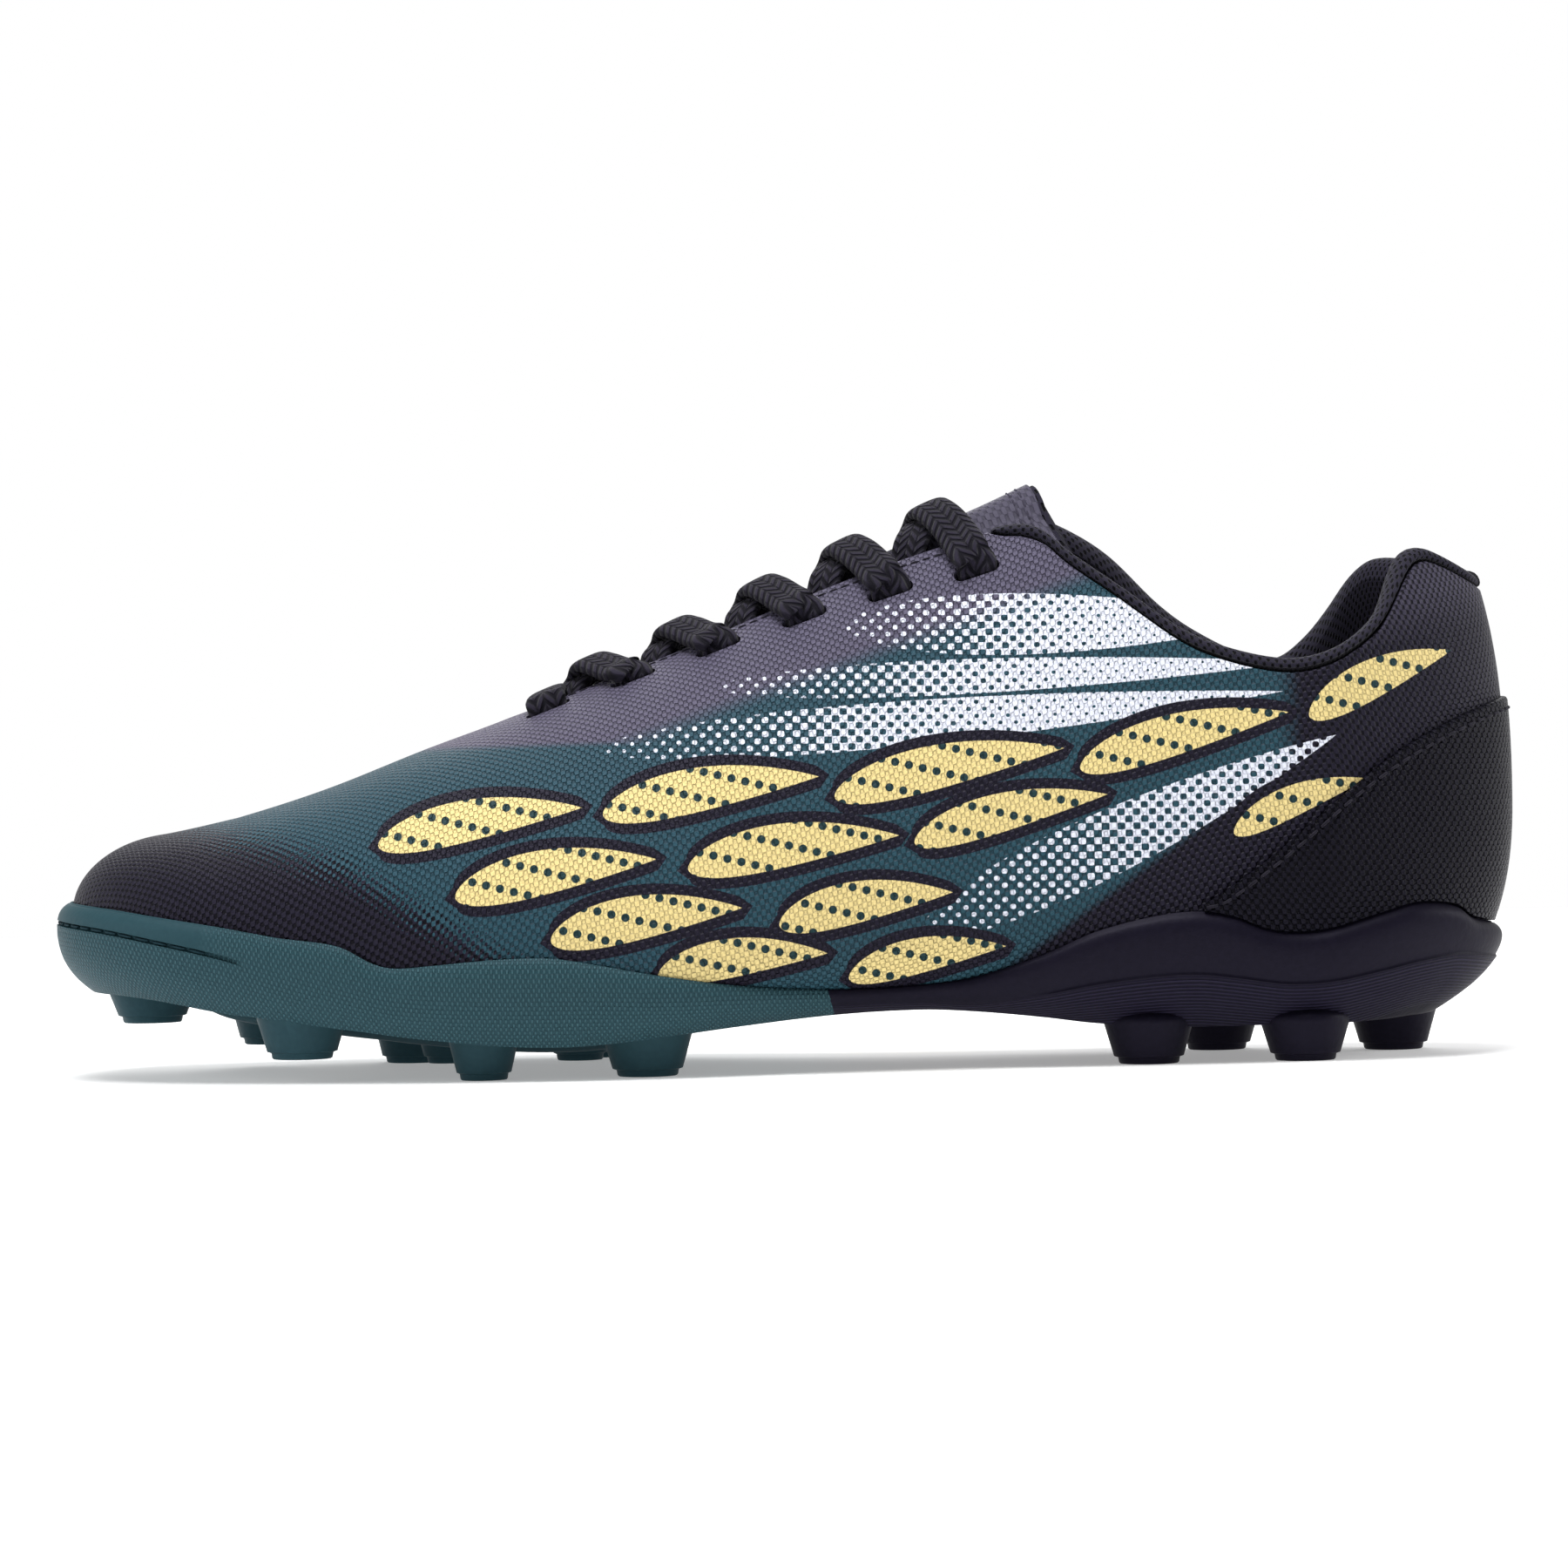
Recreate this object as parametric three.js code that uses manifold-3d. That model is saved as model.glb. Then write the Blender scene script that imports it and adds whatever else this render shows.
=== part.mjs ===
// A soccer cleat for the left foot, on a moulded rubber sole with short conical studs.
// Units are millimetres and +Z is up. The toe points along -X, so -Y is the outer (lateral) side.
// The origin is under the middle of the shoe, on the ground that the studs stand on.
// Every form is worked out from rays: each ray starts on the ridge of the shoe and runs
// outwards and down, so that sole, upper, lining and overlays all follow one last.
import * as THREE from "three";
import { mergeVertices } from "three/addons/utils/BufferGeometryUtils.js";
import Module from "manifold-3d";

const wasm = await Module();
wasm.setup();

// Sizes of the whole shoe
const upperLength = 283; // toe to heel of the upper, at its fullest
const ballWidth = 97; // upper at the ball of the foot
const instepHeight = 109.5; // ridge at the top of the throat, above the ground
const collarHeight = 75; // lowest point of the ankle opening, above the ground
const heelHeight = 11; // footbed at the heel, above the ground

// Sizes of the pieces
const upperWall = 2;
const fitGap = 0.3; // clearance between pieces that meet
const soleThickness = 4;
const soleLip = 0.9; // sole wall at its rounded top edge
const lipRound = 1.4; // depth over which the sole wall comes to its full thickness
const grooveDepth = 0.9; // stitched groove round the toe
const grooveWidth = 1.3;
const grooveEnd = 0.12; // share of the length where the groove ends
const heelStep = 0.5; // height of the raised lower band on the heel's side
const heelStepStart = 0.645;
const insoleThickness = 3;
const insoleMargin = 0.8;
const counterThickness = 1;
const liningDepth = 30; // collar lining, from the top line down into the shoe
const liningPad = 5.5;
const liningRoll = 2.8; // roll of lining above the edge of the upper
const tongueThickness = 3.6;
const tongueHalfWidth = 20;
const tongueEndSkew = 15; // how far the tongue's corners stand behind its middle
const throatGap = 25; // between the two eyestays, at the top
const eyeletRows = 6;
const eyeletPitch = 16.8;
const eyeletInset = 7; // hole centre, from the eyestay's edge
const laceWidth = 8.2;
const laceThickness = 2.2;
const eyeletClearance = 0.55;

// Shares of the upper's length where the toe cap and the heel turn the corner
const toeTurn = 0.115;
const heelTurn = 0.878;
const toeRidge = 0.042; // how far the ridge runs on into the toe
const throatStart = 0.306;
const firstEyelet = 0.336;
const counterStart = 0.775;
const collarStart = 0.648;
const tongueStart = 0.318;
const tongueEnd = 0.675;
const colourJoint = 0.541; // where the two colours of the sole meet, at the ground
const colourJointLean = 2.75; // lean of that joint over the heel height

// Outline of the last. at: share of the length. lateral, medial, ridge, tuck: shares of half the
// ball width. crest, belly: heights of the ridge and of the fullest girth, as shares of the
// instep height.
const half = ballWidth / 2;
const outline = [
  { at: 0.0, lateral: 0.3, medial: 0.3, ridge: 0.13, crest: 0.425, belly: 0.301, tuck: 0.12 },
  { at: 0.07, lateral: 0.6, medial: 0.7, ridge: 0.12, crest: 0.436, belly: 0.292, tuck: 0.12 },
  { at: 0.115, lateral: 0.74, medial: 0.84, ridge: 0.11, crest: 0.463, belly: 0.283, tuck: 0.12 },
  { at: 0.178, lateral: 0.865, medial: 0.92, ridge: 0.09, crest: 0.512, belly: 0.256, tuck: 0.12 },
  { at: 0.249, lateral: 0.955, medial: 0.98, ridge: 0.07, crest: 0.581, belly: 0.232, tuck: 0.12 },
  { at: 0.302, lateral: 0.995, medial: 0.995, ridge: 0.06, crest: 0.629, belly: 0.222, tuck: 0.12 },
  { at: 0.355, lateral: 1.01, medial: 0.965, ridge: 0.05, crest: 0.683, belly: 0.22, tuck: 0.13 },
  { at: 0.426, lateral: 0.98, medial: 0.865, ridge: 0.05, crest: 0.757, belly: 0.225, tuck: 0.15 },
  { at: 0.496, lateral: 0.9, medial: 0.745, ridge: 0.05, crest: 0.841, belly: 0.237, tuck: 0.17 },
  { at: 0.567, lateral: 0.825, medial: 0.66, ridge: 0.04, crest: 0.922, belly: 0.255, tuck: 0.18 },
  { at: 0.638, lateral: 0.775, medial: 0.635, ridge: 0.03, crest: 0.995, belly: 0.28, tuck: 0.19 },
  { at: 0.708, lateral: 0.745, medial: 0.645, ridge: 0.02, crest: 1.066, belly: 0.31, tuck: 0.19 },
  { at: 0.779, lateral: 0.73, medial: 0.67, ridge: 0.01, crest: 1.118, belly: 0.347, tuck: 0.19 },
  { at: 0.85, lateral: 0.71, medial: 0.69, ridge: 0.0, crest: 1.138, belly: 0.395, tuck: 0.2 },
  { at: 0.878, lateral: 0.69, medial: 0.68, ridge: 0.0, crest: 1.137, belly: 0.415, tuck: 0.21 },
  { at: 1.0, lateral: 0.4, medial: 0.4, ridge: 0.0, crest: 1.137, belly: 0.475, tuck: 0.23 },
];

// Roundness of the last and its sole wall. full, crown: exponents of the rounded section. foot:
// how far the sole's bottom edge lies inside, as a share of half the ball width. proud: sole
// wall outside the upper, in sole thicknesses. bulge: exponent of the sole wall's curve.
const roundness = [
  { at: 0.0, full: 2.0, crown: 1.95, foot: 0.08, proud: 0.9, bulge: 3.6 },
  { at: 0.07, full: 2.0, crown: 1.95, foot: 0.08, proud: 0.82, bulge: 3.6 },
  { at: 0.115, full: 2.05, crown: 1.95, foot: 0.07, proud: 0.65, bulge: 3.6 },
  { at: 0.178, full: 2.1, crown: 1.95, foot: 0.07, proud: 0.55, bulge: 3.2 },
  { at: 0.249, full: 2.1, crown: 1.9, foot: 0.07, proud: 0.5, bulge: 3.0 },
  { at: 0.302, full: 2.05, crown: 1.88, foot: 0.07, proud: 0.5, bulge: 3.0 },
  { at: 0.355, full: 2.0, crown: 1.85, foot: 0.08, proud: 0.5, bulge: 3.0 },
  { at: 0.426, full: 1.95, crown: 1.8, foot: 0.13, proud: 0.45, bulge: 2.8 },
  { at: 0.496, full: 1.9, crown: 1.75, foot: 0.19, proud: 0.4, bulge: 2.6 },
  { at: 0.567, full: 1.9, crown: 1.75, foot: 0.21, proud: 0.4, bulge: 2.4 },
  { at: 0.638, full: 1.9, crown: 1.75, foot: 0.2, proud: 0.45, bulge: 2.3 },
  { at: 0.708, full: 1.95, crown: 1.75, foot: 0.17, proud: 0.6, bulge: 2.2 },
  { at: 0.779, full: 2.0, crown: 1.85, foot: 0.17, proud: 0.72, bulge: 2.1 },
  { at: 0.85, full: 2.0, crown: 2.15, foot: 0.18, proud: 0.8, bulge: 2.0 },
  { at: 0.878, full: 2.0, crown: 2.35, foot: 0.19, proud: 0.82, bulge: 2.0 },
  { at: 1.0, full: 2.0, crown: 2.35, foot: 0.31, proud: 0.9, bulge: 1.9 },
];

// Heights of the sole. footbed, edge (top of the side wall) and line (groove or step on the
// side): shares of the heel height. depth: sole under the footbed, in sole thicknesses.
const soleLevels = [
  { at: 0.0, footbed: 2.16, edge: 3.15, line: 2.81, depth: 1.65 },
  { at: 0.04, footbed: 2.0, edge: 3.03, line: 2.66, depth: 1.35 },
  { at: 0.072, footbed: 1.83, edge: 2.9, line: 2.49, depth: 1.15 },
  { at: 0.115, footbed: 1.62, edge: 2.72, line: 2.23, depth: 1.08 },
  { at: 0.157, footbed: 1.46, edge: 2.52, line: 1.9, depth: 1.02 },
  { at: 0.198, footbed: 1.29, edge: 2.36, line: 1.6, depth: 0.97 },
  { at: 0.221, footbed: 1.2, edge: 2.06, line: 1.45, depth: 0.94 },
  { at: 0.235, footbed: 1.14, edge: 1.97, line: 1.38, depth: 0.92 },
  { at: 0.262, footbed: 1.05, edge: 2.01, line: 1.32, depth: 0.9 },
  { at: 0.302, footbed: 0.94, edge: 2.09, line: 1.28, depth: 0.88 },
  { at: 0.34, footbed: 0.895, edge: 2.1, line: 1.27, depth: 0.88 },
  { at: 0.367, footbed: 0.91, edge: 1.99, line: 1.26, depth: 0.88 },
  { at: 0.413, footbed: 1.02, edge: 1.76, line: 1.22, depth: 0.88 },
  { at: 0.466, footbed: 1.17, edge: 1.55, line: 1.22, depth: 0.9 },
  { at: 0.53, footbed: 1.3, edge: 1.43, line: 1.2, depth: 0.86 },
  { at: 0.588, footbed: 1.34, edge: 1.47, line: 1.2, depth: 0.84 },
  { at: 0.624, footbed: 1.31, edge: 1.59, line: 1.14, depth: 0.9 },
  { at: 0.67, footbed: 1.2, edge: 1.95, line: 1.3, depth: 0.94 },
  { at: 0.705, footbed: 1.09, edge: 2.33, line: 1.46, depth: 0.97 },
  { at: 0.747, footbed: 1.02, edge: 2.59, line: 1.58, depth: 1.0 },
  { at: 0.776, footbed: 1.0, edge: 2.65, line: 1.6, depth: 1.0 },
  { at: 0.8, footbed: 1.0, edge: 2.54, line: 1.53, depth: 1.0 },
  { at: 0.818, footbed: 1.0, edge: 2.35, line: 1.46, depth: 1.0 },
  { at: 0.836, footbed: 1.0, edge: 2.26, line: 1.4, depth: 1.0 },
  { at: 0.864, footbed: 1.0, edge: 2.3, line: 1.42, depth: 1.0 },
  { at: 0.905, footbed: 1.02, edge: 2.58, line: 1.6, depth: 1.0 },
  { at: 0.928, footbed: 1.04, edge: 2.72, line: 1.72, depth: 1.02 },
  { at: 0.958, footbed: 1.08, edge: 2.65, line: 1.82, depth: 1.04 },
  { at: 0.973, footbed: 1.1, edge: 2.44, line: 1.8, depth: 1.08 },
  { at: 1.0, footbed: 1.14, edge: 2.3, line: 1.72, depth: 1.12 },
];

// Top line of the collar: heights as shares of the collar height.
const topLine = [
  { at: 0.62, lateral: 1.42, medial: 1.43 },
  { at: 0.648, lateral: 1.372, medial: 1.398 },
  { at: 0.664, lateral: 1.366, medial: 1.39 },
  { at: 0.68, lateral: 1.343, medial: 1.385 },
  { at: 0.694, lateral: 1.292, medial: 1.376 },
  { at: 0.73, lateral: 1.19, medial: 1.297 },
  { at: 0.767, lateral: 1.084, medial: 1.164 },
  { at: 0.792, lateral: 1.037, medial: 1.095 },
  { at: 0.829, lateral: 0.999, medial: 1.026 },
  { at: 0.854, lateral: 0.998, medial: 1.014 },
  { at: 0.879, lateral: 1.031, medial: 1.07 },
  { at: 0.908, lateral: 1.105, medial: 1.175 },
  { at: 0.925, lateral: 1.19, medial: 1.232 },
  { at: 0.938, lateral: 1.252, medial: 1.26 },
  { at: 0.952, lateral: 1.278, medial: 1.272 },
  { at: 0.968, lateral: 1.264, medial: 1.262 },
  { at: 0.99, lateral: 1.226, medial: 1.226 },
  { at: 1.0, lateral: 1.208, medial: 1.208 },
];

// Half the throat's opening, as a share of half its gap at the top.
const throat = [
  { at: 0.306, open: 0.0 },
  { at: 0.311, open: 0.26 },
  { at: 0.32, open: 0.42 },
  { at: 0.335, open: 0.52 },
  { at: 0.415, open: 0.69 },
  { at: 0.53, open: 0.86 },
  { at: 0.645, open: 1.0 },
  { at: 0.7, open: 1.04 },
];

// Top of the heel counter, as a share of the collar height.
const counterLine = [
  { at: 0.775, top: 0.4 },
  { at: 0.793, top: 0.44 },
  { at: 0.823, top: 0.52 },
  { at: 0.853, top: 0.61 },
  { at: 0.883, top: 0.705 },
  { at: 0.915, top: 0.79 },
  { at: 0.95, top: 0.86 },
  { at: 0.98, top: 0.905 },
  { at: 1.0, top: 0.93 },
];

// Studs. at: share of the length. across: share of half the ball width, medial positive.
// tip: height of the stud's foot above the ground, as a share of the heel height.
const studRise = 1.2; // height of the worn step at a stud's foot
const studRoot = 1.22; // root's width over the ring's, times
const studTip = 0.86; // foot's width over the ring's, times
const studDraft = 1.04; // top of the worn step over its foot, times
const studShoulder = 1.3; // height of the ring, in rises of the step
const studSides = 10;
const studSink = 1; // sole left over a stud's root
const largeStud = 13.5; // across the ring
const smallStud = 10.5;
const studs = [
  { at: 0.052, across: 0.1, ring: largeStud, tip: 0.95 },
  { at: 0.168, across: -0.6, ring: largeStud, tip: 0.4 },
  { at: 0.128, across: 0.58, ring: largeStud, tip: 0.42 },
  { at: 0.165, across: 0.0, ring: smallStud, tip: 0.45 },
  { at: 0.292, across: -0.72, ring: smallStud, tip: 0 },
  { at: 0.402, across: -0.66, ring: largeStud, tip: 0 },
  { at: 0.228, across: 0.7, ring: largeStud, tip: 0 },
  { at: 0.362, across: 0.62, ring: largeStud, tip: 0.05 },
  { at: 0.262, across: -0.04, ring: smallStud, tip: 0.15 },
  { at: 0.352, across: -0.02, ring: smallStud, tip: 0.15 },
  { at: 0.743, across: -0.48, ring: largeStud, tip: 0 },
  { at: 0.85, across: -0.46, ring: largeStud, tip: 0 },
  { at: 0.803, across: 0.46, ring: largeStud, tip: 0 },
  { at: 0.924, across: 0.22, ring: largeStud, tip: 0 },
];

// The low rib between the forefoot's studs. wide: half its width, as a share of half the ball
// width. deep: how far it stands below the sole, in sole thicknesses.
const forefootRib = [
  { at: 0.085, wide: 0.12, deep: 0.1 },
  { at: 0.11, wide: 0.26, deep: 0.5 },
  { at: 0.15, wide: 0.36, deep: 0.65 },
  { at: 0.23, wide: 0.33, deep: 0.68 },
  { at: 0.31, wide: 0.3, deep: 0.68 },
  { at: 0.38, wide: 0.26, deep: 0.6 },
  { at: 0.43, wide: 0.2, deep: 0.4 },
  { at: 0.47, wide: 0.1, deep: 0.1 },
];

// A column of a table at a share of the length, on a smooth curve through the rows.
function along(table, column, at) {
  const last = table.length - 1;
  if (at <= table[0].at) return table[0][column];
  if (at >= table[last].at) return table[last][column];
  let i = 0;
  while (table[i + 1].at < at) i++;
  const slope = (j) => {
    const a = table[Math.max(j - 1, 0)];
    const b = table[Math.min(j + 1, last)];
    return (b[column] - a[column]) / (b.at - a.at);
  };
  const span = table[i + 1].at - table[i].at;
  const t = (at - table[i].at) / span;
  const t2 = t * t;
  const t3 = t2 * t;
  return (
    (2 * t3 - 3 * t2 + 1) * table[i][column] +
    (t3 - 2 * t2 + t) * span * slope(i) +
    (3 * t2 - 2 * t3) * table[i + 1][column] +
    (t3 - t2) * span * slope(i + 1)
  );
}

const sideName = (side) => (side < 0 ? "lateral" : "medial");

// A ray of the last: from the ridge at share ridgeAt to the outline point (x, y).
const leastBelly = 6; // fullest girth, above the footbed
const leastSoleWall = 1; // top of the sole wall, above the footbed
function makeRay(side, ridgeAt, x, y) {
  const at = x / upperLength;
  const shape = (column, where = at) => along(outline, column, where);
  const round = (column, where = at) => along(roundness, column, where);
  const ridgeX = ridgeAt * upperLength;
  const ridgeY = shape("ridge", ridgeAt) * half;
  const reach = Math.hypot(x - ridgeX, y - ridgeY);
  const level = (column) => along(soleLevels, column, at) * heelHeight;
  const footbed = level("footbed");
  return {
    side,
    at,
    ridgeX,
    ridgeY,
    reach,
    ex: (x - ridgeX) / reach,
    ey: (y - ridgeY) / reach,
    crest: shape("crest", ridgeAt) * instepHeight,
    full: round("full", ridgeAt),
    crown: round("crown", ridgeAt),
    belly: Math.max(shape("belly") * instepHeight, footbed + leastBelly),
    tuck: shape("tuck") * half,
    foot: round("foot") * half,
    proud: round("proud") * soleThickness,
    bulge: round("bulge"),
    footbed,
    edge: Math.max(level("edge"), footbed + leastSoleWall),
    line: level("line"),
    under: footbed - along(soleLevels, "depth", at) * soleThickness,
    topLine: along(topLine, sideName(side), at) * collarHeight,
    open: ridgeAt < throatStart ? 0 : (along(throat, "open", ridgeAt) * throatGap) / 2,
  };
}

// A ray on the side of the shoe, at a share of the length.
function sideRay(side, at) {
  const y = side * along(outline, sideName(side), at) * half;
  return makeRay(side, at, at * upperLength, y);
}

// A ray round the toe or the heel: turn 0 is at the side, turn 1 at the tip. The outline there
// is a rounded corner that carries on the slope of the side.
const toeCorner = { lateral: 2.8, medial: 3.1 };
const heelCorner = { lateral: 2.5, medial: 2.5 };
const slopeStep = 0.004; // share of the length over which a side's slope is read
function endRay(side, turn, start, run, corner, ridgeRun) {
  const name = sideName(side);
  const power = 2 / corner[name];
  const angle = (turn * Math.PI) / 2;
  const away = run * Math.sin(angle) ** power;
  const centre = along(outline, "ridge", start) * half;
  const wide = (at) => side * along(outline, name, at) * half - centre;
  const step = slopeStep * Math.sign(run);
  const flare = (1 - wide(start - step) / wide(start)) / step;
  const across = turn === 1 ? 0 : Math.max(Math.cos(angle), 0) ** power * (1 + flare * away);
  const x = (start + away) * upperLength;
  return makeRay(side, start + ridgeRun * Math.sin(angle), x, centre + wide(start) * across);
}
const toeRay = (side, turn) => endRay(side, turn, toeTurn, -toeTurn, toeCorner, -toeRidge);
const heelRay = (side, turn) => endRay(side, turn, heelTurn, 1 - heelTurn, heelCorner, 0);

// All rays, once round the shoe: toe tip, lateral side, heel, medial side.
const fanSteps = 6;
const sideStations = [
  0.115, 0.15, 0.185, 0.212, 0.232, 0.26, 0.29, 0.306, 0.311, 0.32, 0.335, 0.37, 0.41, 0.455, 0.5,
  0.545, 0.59, 0.625, 0.648, 0.664, 0.68, 0.694, 0.715, 0.742, 0.775, 0.8, 0.825, 0.852, 0.878,
];
function raysOf(side) {
  const fan = Array.from({ length: fanSteps - 1 }, (_, i) => (i + 1) / fanSteps);
  return [
    ...fan.map((turn) => toeRay(side, turn)).reverse(),
    ...sideStations.map((at) => sideRay(side, at)),
    ...fan.map((turn) => heelRay(side, turn)),
  ];
}
const rays = [toeRay(-1, 1), ...raysOf(-1), heelRay(-1, 1), ...raysOf(1).reverse()];
const pairOf = (i) => (rays.length - i) % rays.length;

// Reach of the last at height z, moved inwards by inset.
const tuckPower = 2.6;
const tuckLimit = 1.2; // how far below the footbed the tuck runs on, in heights of the belly
function reachAt(ray, z, inset = 0) {
  const reach = ray.reach - inset;
  if (z <= ray.belly) {
    const down = Math.min((ray.belly - z) / (ray.belly - ray.footbed), tuckLimit);
    return reach - ray.tuck * down ** tuckPower;
  }
  const up = Math.min((z - ray.belly) / (ray.crest - inset - ray.belly), 1);
  return reach * (1 - up ** ray.crown) ** (1 / ray.full);
}

// Height of the last over a ray at distance out from the ridge.
function heightAt(ray, out, inset = 0) {
  const share = Math.min(out / (ray.reach - inset), 1);
  return ray.belly + (ray.crest - inset - ray.belly) * (1 - share ** ray.full) ** (1 / ray.crown);
}

const place = (ray, out, z) => [ray.ridgeX + ray.ex * out, ray.ridgeY + ray.ey * out, z];

// Where the upper ends on a ray: at the ridge, at the throat or at the top line.
const topLineLead = 0.03; // share of the length over which the top line meets the throat
function topAngle(ray, inset) {
  const gap = Math.min(ray.open / (ray.reach - inset), 1);
  const atThroat = Math.acos(gap ** (ray.full / 2));
  const rise = (ray.topLine - ray.belly) / (ray.crest - inset - ray.belly);
  if (ray.at < collarStart - topLineLead || rise >= 1) return atThroat;
  return Math.min(atThroat, Math.asin(rise ** (ray.crown / 2)));
}

// The upper's surface on a ray: level 0 is the feather edge, 1 the top edge.
const bellyLevel = 0.25;
function upperPoint(ray, level, inset = 0) {
  if (level < bellyLevel) {
    const foot = ray.footbed + fitGap;
    const z = foot + ((ray.belly - foot) * level) / bellyLevel;
    return place(ray, reachAt(ray, z, inset), z);
  }
  const angle = (topAngle(ray, inset) * (level - bellyLevel)) / (1 - bellyLevel);
  const out = (ray.reach - inset) * Math.max(Math.cos(angle), 0) ** (2 / ray.full);
  const rise = Math.sin(angle) ** (2 / ray.crown);
  return place(ray, out < 1e-6 ? 0 : out, ray.belly + (ray.crest - inset - ray.belly) * rise);
}

// Solids from points and triangles
function solidFrom(points, triangles) {
  const raw = new THREE.BufferGeometry();
  raw.setAttribute("position", new THREE.Float32BufferAttribute(points.flat(), 3));
  raw.setIndex(triangles.flat());
  const merged = mergeVertices(raw, 1e-3);
  const index = merged.index.array;
  const position = merged.attributes.position.array;
  const kept = [];
  let volume = 0;
  const corner = (k) => new THREE.Vector3().fromArray(position, 3 * k);
  for (let i = 0; i < index.length; i += 3) {
    const [a, b, c] = [index[i], index[i + 1], index[i + 2]];
    if (a === b || b === c || c === a) continue;
    kept.push(a, b, c);
    volume += corner(a).dot(corner(b).cross(corner(c)));
  }
  if (volume < 0) {
    for (let i = 0; i < kept.length; i += 3) [kept[i], kept[i + 1]] = [kept[i + 1], kept[i]];
  }
  const triVerts = new Uint32Array(kept);
  return new wasm.Manifold(new wasm.Mesh({ numProp: 3, vertProperties: position, triVerts }));
}

function solidOf(geometry) {
  const merged = mergeVertices(geometry.clone().deleteAttribute("normal").deleteAttribute("uv"), 1e-3);
  const position = merged.attributes.position.array;
  const points = Array.from({ length: position.length / 3 }, (_, i) => [
    position[3 * i], position[3 * i + 1], position[3 * i + 2],
  ]);
  return solidFrom(points, [Array.from(merged.index.array)]);
}

// Triangles between closed rings of points. crossed(r, i) turns a quad's diagonal, so that two
// faces that lie against each other are split alike.
function skin(rings, crossed = () => false) {
  const n = rings[0].length;
  const triangles = [];
  for (let r = 0; r + 1 < rings.length; r++) {
    for (let i = 0; i < n; i++) {
      const j = (i + 1) % n;
      const [a, b, c, d] = [r * n + i, r * n + j, (r + 1) * n + j, (r + 1) * n + i];
      triangles.push(...(crossed(r, i) ? [[a, b, d], [b, c, d]] : [[a, b, c], [a, c, d]]));
    }
  }
  return triangles;
}

// A lid across a ring, between each lateral ray and its medial pair.
function lid(first, turned) {
  const triangles = [];
  for (let i = 0; i < rays.length / 2; i++) {
    const [a, b] = [first + i, first + pairOf(i)];
    const [c, d] = [first + i + 1, first + pairOf(i + 1)];
    triangles.push(...(turned ? [[a, b, d], [a, d, c]] : [[a, d, b], [a, c, d]]));
  }
  return triangles;
}

// A tub: rings from its underside up the outside and down the inside, with both lids.
function tub(rings, outsideRings) {
  const triangles = skin(rings, (r) => r >= outsideRings);
  triangles.push(...lid(0, true), ...lid((rings.length - 1) * rays.length, false));
  return solidFrom(rings.flat(), triangles);
}

// A bar along some rays: the same closed profile on each, with its ends filled in. turned(i)
// tells whether the quads after the profile's point i have their diagonals turned.
function bar(profiles, turned = () => false) {
  const count = profiles[0].length;
  const points = profiles.flatMap((profile) => profile.map((p) => p.point));
  const rings = profiles.map((profile) => profile.map((p) => p.point));
  const triangles = skin(rings, (_, i) => turned(i));
  const ends = [0, profiles.length - 1];
  for (const end of ends) {
    const flat = profiles[end].map((p) => new THREE.Vector2(...p.flat));
    const anticlockwise = THREE.ShapeUtils.area(flat) > 0;
    for (const [a, b, c] of THREE.ShapeUtils.triangulateShape(flat, [])) {
      const first = end * count;
      const up = (end === 0) === anticlockwise;
      triangles.push(up ? [first + a, first + c, first + b] : [first + a, first + b, first + c]);
    }
  }
  return solidFrom(points, triangles);
}

// The upper: one synthetic shell, open underneath, at the throat and at the collar
const upperLevels = [0, 0.12, 0.25, 0.36, 0.47, 0.58, 0.69, 0.8, 0.9, 1];
function upperSolid() {
  const outside = upperLevels.map((level) => rays.map((ray) => upperPoint(ray, level)));
  const inside = upperLevels
    .map((level) => rays.map((ray) => upperPoint(ray, level, upperWall)))
    .reverse();
  const rings = [...outside, ...inside, outside[0]];
  const n = rays.length;
  const rimRing = upperLevels.length - 1;
  const shut = (i) => rays[i].open < 1e-6 && rays[i].at < collarStart;
  const triangles = skin(rings, (r) => r > rimRing).filter((_, k) => {
    const ring = Math.floor(k / 2 / n);
    const i = Math.floor(k / 2) % n;
    return !(ring === rimRing && shut(i) && shut((i + 1) % n));
  });
  return solidFrom(rings.flat(), triangles);
}

// The eyelets: a slot for the flat lace at each row, square to the upper's surface
const probe = 1; // distance over which the surface's slopes are read
function surfaceFrame(side, at, out) {
  const ray = sideRay(side, at);
  const point = new THREE.Vector3(...place(ray, out, heightAt(ray, out)));
  const further = new THREE.Vector3(...place(ray, out + probe, heightAt(ray, out + probe)));
  const next = sideRay(side, at + probe / upperLength);
  const ahead = new THREE.Vector3(...place(next, out, heightAt(next, out)));
  const across = further.sub(point).normalize();
  const lengthways = ahead.sub(point).normalize();
  const normal = lengthways.clone().cross(across).normalize();
  if (normal.z < 0) normal.negate();
  return { point, across, lengthways, normal };
}
const eyeletAt = (row) => firstEyelet + (row * eyeletPitch) / upperLength;
const eyeletOut = (side, row) => sideRay(side, eyeletAt(row)).open + eyeletInset;

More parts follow.
